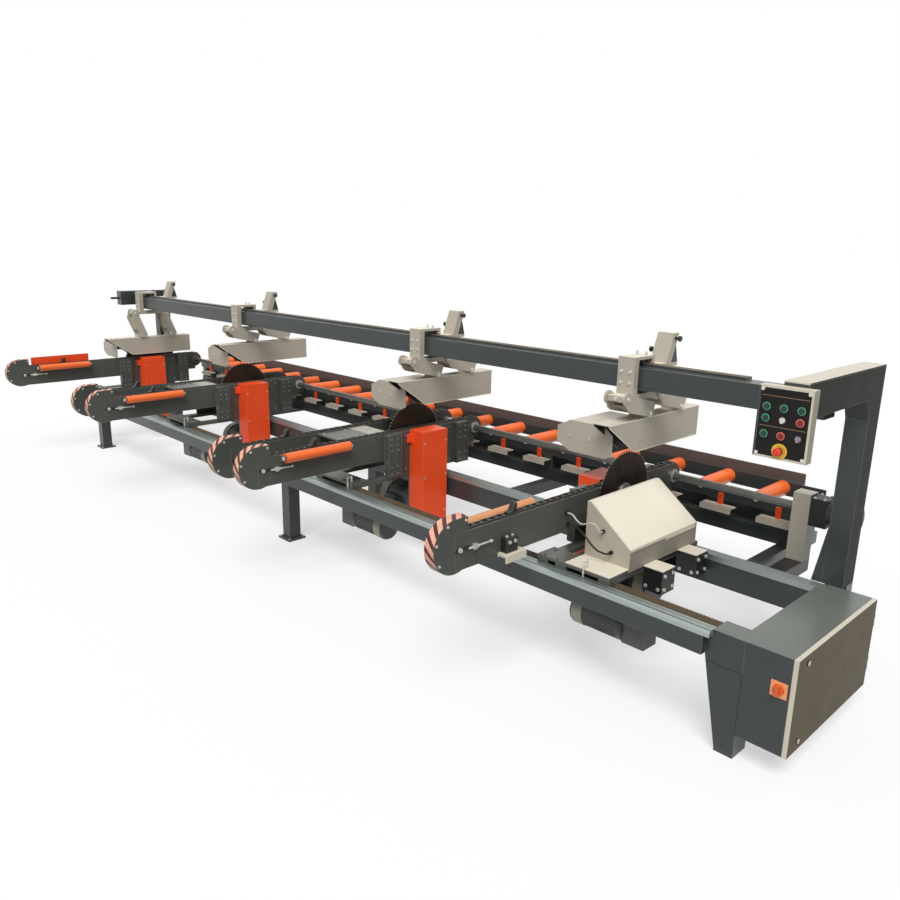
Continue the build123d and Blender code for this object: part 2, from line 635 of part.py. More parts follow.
def chain_arm(right):
    """Cheeks, floor, nose band and wear strip of one arm whose right face is at X = right."""
    left = right - ARM_WIDTH
    inner_left, inner_right = left + CHEEK, right - CHEEK
    band = rod_x(NOSE_Y, NOSE_Z, NOSE_R, inner_left, inner_right)
    band -= rod_x(NOSE_Y, NOSE_Z, NOSE_R - NOSE_BAND, inner_left, inner_right)
    band -= block(inner_left, inner_right, NOSE_Y, NOSE_Y + NOSE_R, NOSE_Z - NOSE_R, NOSE_Z + NOSE_R)
    nose_top = NOSE_Z + NOSE_R
    band += block(inner_left, inner_right, NOSE_Y, NOSE_Y + NOSE_FLAT, nose_top - NOSE_BAND, nose_top)
    floor = block(inner_left, inner_right, NOSE_Y, SHAFT_Y, ARM_BOTTOM, ARM_BOTTOM + CHEEK)
    strip_top = CHAIN_TOP - CHAIN_THICK
    strip = block(inner_left, inner_right, IDLER_Y + SPROCKET_R, SHAFT_Y - SPROCKET_R - CHEEK,
                  strip_top - STRIP_THICK, strip_top)
    left_cheek, left_nose = arm_cheek(left, inner_left)
    right_cheek, right_nose = arm_cheek(inner_right, right)
    return [left_cheek, right_cheek, left_nose, right_nose, band, floor, strip]


def feed_chain(right):
    """The chain loop of one arm, with one pusher lug on its upper run."""
    middle = right - ARM_WIDTH / 2
    x0, x1 = middle - CHAIN_WIDTH / 2, middle + CHAIN_WIDTH / 2
    loop = rod_x(IDLER_Y, CHAIN_AXIS_Z, CHAIN_R, x0, x1) + rod_x(SHAFT_Y, CHAIN_AXIS_Z, CHAIN_R, x0, x1)
    loop += block(x0, x1, IDLER_Y, SHAFT_Y, CHAIN_AXIS_Z - CHAIN_R, CHAIN_TOP)
    loop -= rod_x(IDLER_Y, CHAIN_AXIS_Z, SPROCKET_R, x0, x1)
    loop -= rod_x(SHAFT_Y, CHAIN_AXIS_Z, SPROCKET_R, x0, x1)
    loop -= block(x0, x1, IDLER_Y, SHAFT_Y, CHAIN_AXIS_Z - SPROCKET_R, CHAIN_AXIS_Z + SPROCKET_R)
    lug_top = CHAIN_TOP + LUG_HEIGHT
    lug = [(LUG_Y, CHAIN_TOP), (LUG_Y + LUG_LENGTH, CHAIN_TOP), (LUG_Y + LUG_LENGTH, lug_top),
           (LUG_Y + LUG_LENGTH * 0.45, lug_top)]
    return [loop, plate_x(lug, x0, x1)]


def sprocket_wheel(right):
    """A chain wheel in the middle of one arm."""
    x0 = right - ARM_WIDTH / 2 - TOOTH_WIDTH / 2
    return rod_x(SHAFT_Y, CHAIN_AXIS_Z, SPROCKET_R - GAP, x0, x0 + TOOTH_WIDTH)


def sprocket_body(right, left):
    """A sleeve through the cheeks with a chain wheel in each arm and a ring on its right end."""
    sleeve = rod_x(SHAFT_Y, CHAIN_AXIS_Z, SLEEVE_R, left - SLEEVE_RING, right + SLEEVE_RING)
    sleeve += rod_x(SHAFT_Y, CHAIN_AXIS_Z, SLEEVE_RING_R, right + GAP, right + SLEEVE_RING)
    sleeve += sprocket_wheel(right)
    if right - left > ARM_WIDTH:
        sleeve += sprocket_wheel(left + ARM_WIDTH)
    return sleeve


def drive_sprocket(right, left):
    """A sprocket sleeve that slides on the hexagon shaft."""
    bore = hexagon_x(SHAFT_Y, CHAIN_AXIS_Z, SHAFT_FLATS + 2 * KEY_GAP, left - 2 * SLEEVE_RING,
                     right + 2 * SLEEVE_RING)
    return [sprocket_body(right, left) - bore]


def drive_shaft():
    """The hexagon shaft with its left sprocket and the journal in the drive post."""
    left = HEAD_4_X - ARM_WIDTH - SLEEVE_RING
    right = DRIVE_POST_X - GAP
    shaft = hexagon_x(SHAFT_Y, CHAIN_AXIS_Z, SHAFT_FLATS, left, right)
    journal = rod_x(SHAFT_Y, CHAIN_AXIS_Z, JOURNAL_R, right, right + DRIVE_POST_SIZE)
    return [shaft, sprocket_body(HEAD_4_X, HEAD_4_X - ARM_WIDTH) - shaft, journal]


# Saw heads

def blade_x(right):
    return right - ARM_WIDTH - BLADE_SIDE


def saw_blade(right):
    """Blade, clamping flanges, spindle and pulley on one axis."""
    x = blade_x(right)
    half = BLADE_THICK / 2
    near, far = x - FLANGE_THICK, x + BLADE_SIDE - GAP
    pulley_x = right + SIDE_PLATE + HOUSING_PROUD + GAP
    return [
        rod_x(BLADE_Y, BLADE_Z, BLADE_R, x - half, x + half),
        rod_x(BLADE_Y, BLADE_Z, FLANGE_R, near, x - half),
        rod_x(BLADE_Y, BLADE_Z, FLANGE_R, x + half, far),
        rod_x(BLADE_Y, BLADE_Z, SPINDLE_R, far, pulley_x),
        rod_x(BLADE_Y, BLADE_Z, PULLEY_R, pulley_x, pulley_x + PULLEY_WIDTH),
    ]


def mirrored(solids, right):
    """The same pieces reflected in the middle plane of the arm."""
    middle = Plane.YZ.offset(right - ARM_WIDTH / 2)
    return [mirror(solid, about=middle) for solid in solids]


def roller_axle(x):
    """End plates and axle of a load roller beside an arm."""
    z = CHAIN_TOP + ROLLER_PROUD - ROLLER_R
    y0, y1 = ROLLER_FRONT - GAP, ROLLER_FRONT + ROLLER_LENGTH + GAP
    return rod_y(x, z, ROLLER_AXLE_R, y0 - ROLLER_PLATE, y1 + ROLLER_PLATE)


def roller_plates(face, x):
    """The two plates that carry a load roller, from the arm's face to past its axle."""
    z = CHAIN_TOP + ROLLER_PROUD - ROLLER_R
    reach = ROLLER_AXLE_R * 2
    x0, x1 = min(face, x - reach), max(face, x + reach)
    plates = []
    for y in (ROLLER_FRONT - GAP - ROLLER_PLATE, ROLLER_FRONT + ROLLER_LENGTH + GAP):
        plate = block(x0, x1, y, y + ROLLER_PLATE, z - reach, z + reach)
        plates.append(plate - rod_y(x, z, ROLLER_AXLE_R, y - ROLLER_PLATE, y + 2 * ROLLER_PLATE))
    return plates


def load_roller(x):
    """A free-turning roller that a board rolls sideways on."""
    z = CHAIN_TOP + ROLLER_PROUD - ROLLER_R
    roller = rod_y(x, z, ROLLER_R, ROLLER_FRONT, ROLLER_FRONT + ROLLER_LENGTH)
    return [roller - rod_y(x, z, ROLLER_AXLE_R + RUN, ROLLER_FRONT, ROLLER_FRONT + ROLLER_LENGTH)]


def shoes(x0, x1):
    """A carriage bar along Y that rides on both rails."""
    rear = REAR_BEAM_Y + RAIL_WIDTH
    return block(x0, x1, SHOE_FRONT, rear, SHOE_Z, CARRIAGE_Z)


def travel_drive(box_x, toward, hang_x0, hang_x1):
    """The travel gearmotor under the front beam, hung from the carriage behind the beam."""
    hang_y = FRONT_BEAM_Y + FRONT_BEAM_DEPTH + TRAVEL_MOTOR_DROP
    half = GEARBOX_SIZE / 2
    box = block(box_x - half, box_x + half, TRAVEL_MOTOR_Y - half, hang_y + HANGER, TRAVEL_MOTOR_Z - half,
                TRAVEL_MOTOR_Z + half)
    end = box_x + toward * half
    far = end + toward * TRAVEL_MOTOR_LENGTH
    motor = rod_x(TRAVEL_MOTOR_Y, TRAVEL_MOTOR_Z, TRAVEL_MOTOR_R, min(end, far), max(end, far))
    hanger = block(hang_x0, hang_x1, hang_y, hang_y + HANGER, TRAVEL_MOTOR_Z, CARRIAGE_Z)
    return [box, motor, hanger - box - motor]


def head_frame(right, two_arms, motor_length):
    """Arms, plates, spindle housing, motor and shoes of a head with its blade left of the main arm."""
    left = right - ARM_WIDTH
    plate_right = right + SIDE_PLATE
    leg_y0 = BLADE_Y - GUARD_DEPTH / 2
    plate_top = ARM_TOP - CHEEK
    pieces = chain_arm(right)
    bore = rod_x(BLADE_Y, BLADE_Z, HOUSING_R, left - CHEEK, plate_right + HOUSING_PROUD)
    for index in (0, 1):
        pieces[index] -= bore
    side = block(right, plate_right, PLATE_FRONT, PLATE_REAR, CARRIAGE_Z, plate_top)
    drop = block(right, plate_right, leg_y0, leg_y0 + GUARD_DEPTH, MOTOR_Z - MOTOR_R, CARRIAGE_Z)
    housing = rod_x(BLADE_Y, BLADE_Z, HOUSING_R, left, plate_right + HOUSING_PROUD)
    housing -= rod_x(BLADE_Y, BLADE_Z, SPINDLE_R + RUN, left - CHEEK, plate_right + 2 * HOUSING_PROUD)
    pieces += [side - bore, drop, housing]
    pieces.append(rod_x(BLADE_Y, MOTOR_Z, MOTOR_R, right - motor_length, right))
    rear_y = PLATE_REAR - UPRIGHT_DEPTH
    for y in (PLATE_FRONT, rear_y):
        pieces.append(block(plate_right, plate_right + UPRIGHT_WIDTH, y, y + UPRIGHT_DEPTH, CARRIAGE_Z,
                            plate_top))
    if two_arms:
        far_left = right - ARM_SPACING - ARM_WIDTH - SIDE_PLATE
        tie_left = far_left + SIDE_PLATE
        pieces += chain_arm(right - ARM_SPACING)
        table_top = CHAIN_TOP - TABLE_DROP
        pieces.append(block(right - ARM_SPACING, left, TABLE_FRONT, TABLE_REAR, table_top - TABLE_THICK,
                            table_top))
        pieces.append(block(far_left, tie_left, PLATE_FRONT, PLATE_REAR, CARRIAGE_Z, plate_top))
    else:
        far_left = left - 2 * BLADE_SIDE - FLANGE_THICK - SHOE_WIDTH
        tie_left = left
    pieces.append(shoes(plate_right - SHOE_WIDTH, plate_right))
    pieces.append(shoes(far_left, far_left + SHOE_WIDTH))
    pieces.append(block(far_left, plate_right, SHOE_FRONT, SHOE_FRONT + CROSS_DEPTH, CARRIAGE_Z,
                        CARRIAGE_Z + CROSS_THICK))
    pieces.append(block(tie_left, right, rear_y, PLATE_REAR, CARRIAGE_Z, ARM_BOTTOM))
    roller_x = right + ROLLER_OFFSET
    return pieces + roller_plates(right, roller_x) + [roller_axle(roller_x)]


def carriage(number):
    """A head's frame; the first one is mirrored and carries the pale cover, the last one stays put."""
    right = HEAD_X[number]
    if number == 4:
        return head_frame(right, False, END_MOTOR_LENGTH)
    if number != 1:
        box_x = right - GEARBOX_OFFSET
        hang_x1 = right + SIDE_PLATE - SHOE_WIDTH
        hang_x0 = box_x - GEARBOX_SIZE / 2
        return head_frame(right, True, MOTOR_LENGTH) + travel_drive(box_x, 1, hang_x0, hang_x1)
    pieces = mirrored(head_frame(right, False, MOTOR_LENGTH), right)
    cover_right = right + COVER_OFFSET + COVER_WIDTH
    near = right + 2 * BLADE_SIDE + FLANGE_THICK + SHOE_WIDTH
    pieces.append(shoes(cover_right - SHOE_WIDTH, cover_right))
    pieces.append(block(near, cover_right, SHOE_FRONT, SHOE_FRONT + CROSS_DEPTH, CARRIAGE_Z,
                        CARRIAGE_Z + CROSS_THICK))
    for y in bearing_places():
        pieces.append(block(cover_right, cover_right + BEARING_WIDTH, y, y + BEARING_DEPTH,
                            CARRIAGE_Z - BEARING_HEIGHT, CARRIAGE_Z))
    box_x = cover_right + COVER_GEARBOX
    return pieces + travel_drive(box_x, -1, near, cover_right - SHOE_WIDTH) + leads(right)


def bearing_places():
    return BEARING_FRONT, BEARING_FRONT + BEARING_PITCH


def lead(name, radius, right, route):
    """A cable from the first arm to the front of the pale cover, with a gland at each end."""
    points = [Vector(right + x, COVER_FRONT + y, z) for x, y, z in route]
    runs = [b - a for a, b in zip(points, points[1:])]
    bends = []
    for before, after in zip(runs, runs[1:]):
        half_turn = math.radians(before.get_angle(after)) / 2
        bends.append(LEAD_BEND * min(before.length, after.length) / math.tan(half_turn))
    print(name, "bend radii", [round(bend, 1) for bend in bends])
    path = FilletPolyline(*points, radius=bends)
    cable = sweep(Plane(origin=points[0], z_dir=runs[0]) * Circle(radius), path=path)
    start, end = points[0], points[-1]
    at_arm = rod_x(start.Y, start.Z, GLAND_R, right, start.X)
    at_cover = rod_y(end.X, end.Z, GLAND_R, end.Y, COVER_FRONT)
    return [cable, at_arm, at_cover]


def leads(right):
    """The pale and the dark cable in front of the pale cover."""
    g = GLAND_LENGTH
    pale = [(g, -45, 800), (44, -45, 800), (74, -49, 776), (108, -54, 766), (144, -57, 782), (178, -56, 794),
            (202, -48, 774), (204, -38, 745), (204, -g, 745)]
    dark = [(g, -30, 735), (48, -30, 735), (92, -40, 727), (134, -48, 706), (168, -50, 678), (204, -48, 656),
            (238, -42, 650), (258, -34, 650), (258, -g, 650)]
    return lead("pale lead", PALE_LEAD_R, right, pale) + lead("dark lead", DARK_LEAD_R, right, dark)


def belt_guard(right):
    """The tall sheet guard over the belt, open towards the side plate it is screwed to."""
    x0 = right + SIDE_PLATE
    x1 = x0 + GUARD_WIDTH
    y0, y1 = BLADE_Y - GUARD_DEPTH / 2, BLADE_Y + GUARD_DEPTH / 2
    s = GUARD_SHEET
    return [
        block(x1 - s, x1, y0, y1, GUARD_BOTTOM, GUARD_TOP),
        block(x0, x1 - s, y0, y0 + s, GUARD_BOTTOM, GUARD_TOP),
        block(x0, x1 - s, y1 - s, y1, GUARD_BOTTOM, GUARD_TOP),
        block(x0, x1 - s, y0 + s, y1 - s, GUARD_TOP - s, GUARD_TOP),
    ]


def length_fence(right):
    """The zero fence on the left of the fixed head."""
    left = right - ARM_WIDTH
    return block(left - FENCE_THICK, left, FENCE_FRONT, FENCE_FRONT + FENCE_LENGTH, ARM_BOTTOM + CHAIN_R,
                 FENCE_TOP)


def saw_cover(right):
    """The pale cover with a sloping lid, beside the blade of the first head."""
    x0 = right + COVER_OFFSET
    x1 = x0 + COVER_WIDTH
    y1 = COVER_FRONT + COVER_DEPTH
    s = GUARD_SHEET
    ridge = x0 + COVER_RIDGE
    end = [(x0, CARRIAGE_Z), (x1, CARRIAGE_Z), (x1, COVER_EAVE), (ridge, COVER_TOP), (x0, COVER_TOP)]
    under = COVER_TOP - 2 * s
    lid = [(ridge, COVER_TOP), (x1, COVER_EAVE), (x1, COVER_EAVE - 2 * s), (ridge, under)]
    in0, in1 = COVER_FRONT + s, y1 - s
    foot_z = CARRIAGE_Z + CROSS_THICK
    tabs = []
    for y in bearing_places():
        tabs.append(block(x1, x1 + BEARING_WIDTH, y, y + BEARING_DEPTH, CARRIAGE_Z, CARRIAGE_Z + s))
    return tabs + [
        plate_y(end, COVER_FRONT, in0),
        plate_y(end, in1, y1),
        plate_y(lid, in0, in1),
        block(x0, ridge, in0, in1, under, COVER_TOP),
        block(x0, x0 + s, in0, in1, CARRIAGE_Z, under),
        block(x1 - s, x1, in0, in1, CARRIAGE_Z, COVER_EAVE - 2 * s),
        block(x0, x1, COVER_FRONT - COVER_FOOT, COVER_FRONT, foot_z, foot_z + s),
    ]


# Hold-downs

def link_offset(angle):
    """The lower pin of a link from its upper pin, at an angle from hanging straight down."""
    turn = math.radians(angle)
    return LINK_LENGTH * math.sin(turn), -LINK_LENGTH * math.cos(turn)


def bracket_span(right):
    x1 = right + HOOD_RIGHT
    return x1 - BRACKET_WIDTH, x1


def press_carrier(right):
    """The clamp round the overhead beam, its lower bracket with two pins, and the rear wedge."""
    x0, x1 = bracket_span(right)
    pin_reach = LINK_THICK + 2 * LINK_SIDE
    clamp_z = TOP_RAIL_TOP + GAP
    top = clamp_z + CLAMP_THICK
    post_y1 = BEAM_Y - POST_SPACE
    back_y0 = BEAM_Y + BEAM_DEPTH + POST_SPACE
    rear_y = PIVOT_FRONT + PIVOT_PITCH
    bracket_top = BRACKET_LOW + BRACKET_HEIGHT
    bracket = block(x0, x1, PIVOT_FRONT - BRACKET_END, rear_y + BRACKET_END, BRACKET_LOW, bracket_top)
    for y in (PIVOT_FRONT, rear_y):
        bracket += rod_x(y, PIVOT_Z, LINK_PIN_R, x0 - pin_reach, x1 + pin_reach)
    post = block(x0, x1, post_y1 - POST_THICK, post_y1, bracket_top, top)
    clamp = block(x0, x1, post_y1, back_y0, top - CLAMP_PLATE, top)
    pad_x = (x0 + x1 - CLAMP_PAD) / 2
    pad_y = BEAM_Y + BEAM_DEPTH - TOP_RAIL_WIDTH
    pad = block(pad_x, pad_x + CLAMP_PAD, pad_y, pad_y + CLAMP_PAD, clamp_z, top - CLAMP_PLATE)
    back = block(x0, x1, back_y0, back_y0 + REAR_PLATE, bracket_top, top)
    shelf_y = back_y0 + REAR_PLATE
    wedge_y = shelf_y + WEDGE_SETBACK
    bar_y = wedge_y + WEDGE_BAR
    base = top - WEDGE_DROP
    shelf = block(x0, x1, shelf_y, bar_y + GUSSET_DEPTH, base - REAR_PLATE, base)
    bar = [(wedge_y, base), (bar_y, base), (bar_y + WEDGE_LEAN, base + WEDGE_HEIGHT),
           (wedge_y + WEDGE_LEAN, base + WEDGE_HEIGHT)]
    tip_y = bar_y + WEDGE_LEAN * GUSSET_HEIGHT / WEDGE_HEIGHT
    gusset = [(bar_y, base), (bar_y + GUSSET_DEPTH, base), (tip_y, base + GUSSET_HEIGHT)]
    return [bracket, post, clamp, pad, back, shelf, plate_x(bar, x0, x1), plate_x(gusset, x0, x1)]


def press_link(right, pivot_y, angle):
    """A channel of two tapered cheeks and a web, from a bracket pin to a hood pin."""
    x0, x1 = bracket_span(right)
    dy, dz = link_offset(angle)
    pins = [(pivot_y, PIVOT_Z, LINK_WIDTH / 2), (pivot_y + dy, PIVOT_Z + dz, LINK_TIP / 2)]
    turn = math.radians(angle)
    across = Vector(0, math.cos(turn), math.sin(turn))
    edge = [Vector(0, y, z) + across * half for y, z, half in pins]
    edge += [Vector(0, y, z) - across * half for y, z, half in reversed(pins)]
    outline = [(point.Y, point.Z) for point in edge]
    pieces = []
    for start in (x0 - LINK_SIDE - LINK_THICK, x1 + LINK_SIDE):
        cheek = plate_x(outline, start, start + LINK_THICK)
        for y, z, half in pins:
            cheek += rod_x(y, z, half, start, start + LINK_THICK)
        for y, z, half in pins:
            cheek -= rod_x(y, z, LINK_PIN_R + RUN, start - LINK_THICK, start + 2 * LINK_THICK)
        pieces.append(cheek)
    along = (edge[2] - edge[3]).normalized()
    web_from = edge[3] + along * LINK_WEB_START
    web_to = web_from + along * LINK_WEB_LENGTH
    web = [web_from, web_to, web_to + across * LINK_WEB, web_from + across * LINK_WEB]
    pieces.append(plate_x([(point.Y, point.Z) for point in web], x0 - LINK_SIDE, x1 + LINK_SIDE))
    return pieces


def press_hood(right, angle):
    """The hood: a long open box with a shorter sheet cover on its left."""
    x1 = right + HOOD_RIGHT
    x0 = x1 - HOOD_WIDTH
    lug0, lug1 = bracket_span(right)
    dy, dz = link_offset(angle)
    pin_z = PIVOT_Z + dz
    top = pin_z - LUG_RISE
    low = top - HOOD_HEIGHT
    y0 = PIVOT_FRONT + dy - HOOD_LEAD
    y1 = y0 + HOOD_LENGTH
    s = HOOD_SHEET
    side = [(y0, top), (y1, top), (y1, low), (y0 + HOOD_CHAMFER, low), (y0, top - 2 * s)]
    pieces = [plate_x(side, x0, x0 + s), plate_x(side, x1 - s, x1)]
    pieces.append(block(x0 + s, x1 - s, y0, y1, top - s, top))
    pieces.append(block(x0 + s, x1 - s, y1 - s, y1, low, top - s))
    pin_reach = LINK_THICK + 2 * LINK_SIDE
    for y in (PIVOT_FRONT + dy, PIVOT_FRONT + PIVOT_PITCH + dy):
        lug = block(lug0, lug1, y - LUG_END, y + LUG_END, top, pin_z + LINK_PIN_R)
        pieces.append(lug + rod_x(y, pin_z, LINK_PIN_R, lug0 - pin_reach, lug1 + pin_reach))
    front = y0 + COVER_L_FRONT
    back = front + COVER_L_LENGTH
    cx0 = x0 - COVER_L_WIDTH
    lap = x0 + COVER_L_LAP
    cz0 = low - COVER_L_DROP
    cz1 = cz0 + COVER_L_HEIGHT
    ax, az = COVER_L_CHAMFER_X, COVER_L_CHAMFER_Z
    face = [(cx0 + ax, cz1), (x0, cz1), (lap, cz1 - az), (lap, cz0 + az / 2), (lap - az, cz0),
            (cx0 + ax, cz0), (cx0, cz0 + az), (cx0, cz1 - az)]
    pieces.append(plate_y(face, front, front + s))
    pieces.append(block(cx0, cx0 + s, front + s, back, cz0 + az, cz1 - az))
    pieces.append(block(cx0 + ax, x0, front + s, back, cz1 - s, cz1))
    slope = [(cx0, cz1 - az), (cx0 + s, cz1 - az), (cx0 + ax, cz1 - s), (cx0 + ax, cz1)]
    pieces.append(plate_y(slope, front + s, back))
    return pieces


# Conveyor and chain drive

def conveyor_frame():
    """Side rails, a long beam under them, outriggers from the rear beam, posts and the rear fence."""
    x0, x1 = CONVEYOR_LEFT, CONVEYOR_RIGHT
    front = CONVEYOR_FRONT
    back = front + CONVEYOR_WIDTH
    z0, z1 = CONVEYOR_RAIL_Z, CONVEYOR_RAIL_Z + CONVEYOR_RAIL_HEIGHT
    rails = []
    for y in (front, back - CONVEYOR_RAIL):
        rail = block(x0, x1, y, y + CONVEYOR_RAIL, z0, z1)
        for index in range(CONVEYOR_ROLLERS):
            x = CONVEYOR_FIRST - index * CONVEYOR_PITCH
            rail -= rod_y(x, CONVEYOR_ROLLER_Z, CONVEYOR_AXLE_R, y, y + CONVEYOR_RAIL)
        rails.append(rail)
    outrigger_top = BEAM_TOP
    beam_top = outrigger_top + CONVEYOR_BEAM
    beam_y = front + CONVEYOR_RAIL
    pieces = rails + [block(x0, x1, beam_y, beam_y + CONVEYOR_BEAM, outrigger_top, beam_top)]
    fence_y = back + CONVEYOR_FENCE_OFF
    pieces.append(block(x0, CONVEYOR_FENCE_RIGHT, fence_y, fence_y + CONVEYOR_FENCE_THICK,
                        CONVEYOR_FENCE_Z, CONVEYOR_FENCE_Z + CONVEYOR_FENCE_HEIGHT))
    web_y = beam_y + CONVEYOR_BEAM - CONVEYOR_WEB
    pieces.append(block(x0, x1, web_y, web_y + CONVEYOR_WEB, beam_top, beam_top + CONVEYOR_WEB_HEIGHT))
    post = OUTRIGGER * 0.7
    for index in range(CONVEYOR_SPANS + 1):
        x = x0 + OUTRIGGER + (x1 - x0 - 2 * OUTRIGGER) * index / CONVEYOR_SPANS
        near, far = x - OUTRIGGER / 2, x + OUTRIGGER / 2
        pieces.append(block(near, far, REAR_BEAM_END, OUTRIGGER_END, outrigger_top - OUTRIGGER,
                            outrigger_top))
        pieces.append(block(near, far, front, front + post, beam_top, z0))
        pieces.append(block(near, far, back - post, back, outrigger_top, z0))
        reach = far - CONVEYOR_FENCE_RIGHT if far > CONVEYOR_FENCE_RIGHT else 0.0
        pieces.append(block(near - reach - OUTRIGGER, far - reach, back, fence_y, z0, z1))
    return pieces


def conveyor_rollers():
    """The conveyor's rollers on their axles."""
    front = CONVEYOR_FRONT
    back = front + CONVEYOR_WIDTH
    inside0 = front + CONVEYOR_RAIL + CONVEYOR_PLAY
    inside1 = back - CONVEYOR_RAIL - CONVEYOR_PLAY
    rollers = []
    for index in range(CONVEYOR_ROLLERS):
        x = CONVEYOR_FIRST - index * CONVEYOR_PITCH
        roller = rod_y(x, CONVEYOR_ROLLER_Z, CONVEYOR_ROLLER_R, inside0, inside1)
        rollers.append(roller + rod_y(x, CONVEYOR_ROLLER_Z, CONVEYOR_AXLE_R, front, back))
    return rollers


def chain_drive():
    """The pale drive post on its bracket, with the gearbox and motor of the chain shaft."""
    x0, x1 = DRIVE_POST_X, DRIVE_POST_X + DRIVE_POST_SIZE
    y0, y1 = SHAFT_Y - DRIVE_POST_SIZE / 2, SHAFT_Y + DRIVE_POST_SIZE / 2
    base = BEAM_TOP
    post = block(x0, x1, y0, y1, base, CHAIN_AXIS_Z + DRIVE_POST_RISE)
    post -= rod_x(SHAFT_Y, CHAIN_AXIS_Z, JOURNAL_R + RUN, x0 - CHEEK, x1 + CHEEK)
    arm = block(x0, x1, REAR_BEAM_END, y1, base - OUTRIGGER, base)
    half = GEARBOX_HEIGHT / 2
    box = block(x1, x1 + GEARBOX_WIDTH, y0, y1, CHAIN_AXIS_Z - half, CHAIN_AXIS_Z + half)
    motor_x = x1 + GEARBOX_WIDTH
    motor = rod_x(SHAFT_Y, CHAIN_AXIS_Z, GEAR_MOTOR_R, motor_x, motor_x + GEAR_MOTOR_LENGTH)
    return [post, arm, box, motor]


os.makedirs("parts", exist_ok=True)
save("base_frame", *base_frame())
save("guide_rails", *guide_rails())
save("cabinet_shell", *cabinet_shell())
save("cabinet_door", *cabinet_door())
save("main_switch", *main_switch())
save("gantry_frame", *gantry_frame())
save("control_box", *control_box())
save("emergency_stop", *emergency_stop())
for number, place in enumerate(BUTTON_PLACES, 1):
    save("push_button_%d" % number, *push_button(place))
for number, place in enumerate(SELECTOR_PLACES, 1):
    save("selector_%d" % number, *selector(place))
save("conveyor_frame", *conveyor_frame())
save("chain_drive", *chain_drive())
save("drive_shaft", *drive_shaft())

for number, right in HEAD_X.items():
    two_arms = number in TWO_ARM_HEADS
    arms = [right, right - ARM_SPACING] if two_arms else [right]
    angle = LINK_LOW if number == 4 else LINK_HIGH
    save("carriage_%d" % number, *carriage(number))
    save("feed_chain_%d" % number, *[piece for x in arms for piece in feed_chain(x)])
    blade, guards, roller = saw_blade(right), belt_guard(right), load_roller(right + ROLLER_OFFSET)
    if number == 1:
        blade, guards, roller = mirrored(blade, right), mirrored(guards, right), mirrored(roller, right)
        save("saw_cover_1", *saw_cover(right))
    if number == 4:
        guards.append(length_fence(right))
        save("idle_rollers", *conveyor_rollers(), *roller)
    else:
        save("load_roller_%d" % number, *roller)
        save("drive_sprocket_%d" % number, *drive_sprocket(right, arms[-1] - ARM_WIDTH))
    save("saw_blade_%d" % number, *blade)
    save("belt_guard_%d" % number, *guards)
    press = right + PRESS_3_SHIFT if number == 3 else right
    save("press_carrier_%d" % number, *press_carrier(press))
    save("press_front_link_%d" % number, *press_link(press, PIVOT_FRONT, angle))
    save("press_rear_link_%d" % number, *press_link(press, PIVOT_FRONT + PIVOT_PITCH, angle))
    save("press_hood_%d" % number, *press_hood(press, angle))
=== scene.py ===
# %% [markdown]
# # A multi-head cross-cut saw, dressed for its portrait
# The solids come from the CAD model: beams, arms, hoods, rollers and every moving part already have
# their true size and place. This lesson adds what a solid cannot say: paint, bare steel, roller
# chains, saw teeth, motor fins, bolts and the little things on the operator panel.

# %% Load the fixed frame
from math import atan2, cos, hypot, pi, radians, sin, sqrt

import bmesh
import bpy
from mathutils import Matrix, Vector


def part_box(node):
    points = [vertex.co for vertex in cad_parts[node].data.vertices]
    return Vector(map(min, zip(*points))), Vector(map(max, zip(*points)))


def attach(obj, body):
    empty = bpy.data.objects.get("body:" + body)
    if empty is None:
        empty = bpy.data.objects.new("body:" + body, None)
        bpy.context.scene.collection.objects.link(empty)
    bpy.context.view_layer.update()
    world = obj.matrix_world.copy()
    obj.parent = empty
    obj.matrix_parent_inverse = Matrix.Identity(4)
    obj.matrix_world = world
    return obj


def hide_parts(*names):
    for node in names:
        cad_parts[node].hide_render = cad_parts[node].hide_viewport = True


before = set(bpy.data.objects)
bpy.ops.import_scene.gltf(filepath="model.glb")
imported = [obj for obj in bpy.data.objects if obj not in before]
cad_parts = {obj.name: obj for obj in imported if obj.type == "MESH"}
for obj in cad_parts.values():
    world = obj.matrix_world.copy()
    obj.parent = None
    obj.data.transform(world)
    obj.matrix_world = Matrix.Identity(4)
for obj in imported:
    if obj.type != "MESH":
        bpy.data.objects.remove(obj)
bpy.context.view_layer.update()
scene = bpy.context.scene


def put(name, data):
    """Make an object of some data and place it in the scene."""
    item = bpy.data.objects.new(name, data)
    scene.collection.objects.link(item)
    return item


def rounded(values):
    return [round(v, 3) for v in values]


# %% [markdown]
# ## The camera
# The photograph was taken from the right front corner, a little above head height. Lens and angles were
# worked out from straight edges of the machine. A matrix of the camera's right, up and backward
# directions says them most plainly.

# %% Camera
CAMERA_PLACE = Vector((4.854, -3.350, 2.100))
YAW, PITCH, ROLL = radians(-46.006), radians(14.618), radians(-1.002)
LENS = 31.675
forward_axis = Vector((cos(PITCH) * sin(YAW), cos(PITCH) * cos(YAW), -sin(PITCH)))
level = Vector((cos(YAW), -sin(YAW), 0.0))
down = forward_axis.cross(level)
right_axis = cos(ROLL) * level + sin(ROLL) * down
down_axis = cos(ROLL) * down - sin(ROLL) * level
lens_data = bpy.data.cameras.new("camera")
lens_data.lens = LENS
lens_data.sensor_width = 36.0
camera = put("camera", lens_data)
turn = Matrix((right_axis, -down_axis, -forward_axis)).transposed().to_4x4()
camera.matrix_world = Matrix.Translation(CAMERA_PLACE) @ turn
scene.camera = camera
print("camera looks along", rounded(forward_axis))

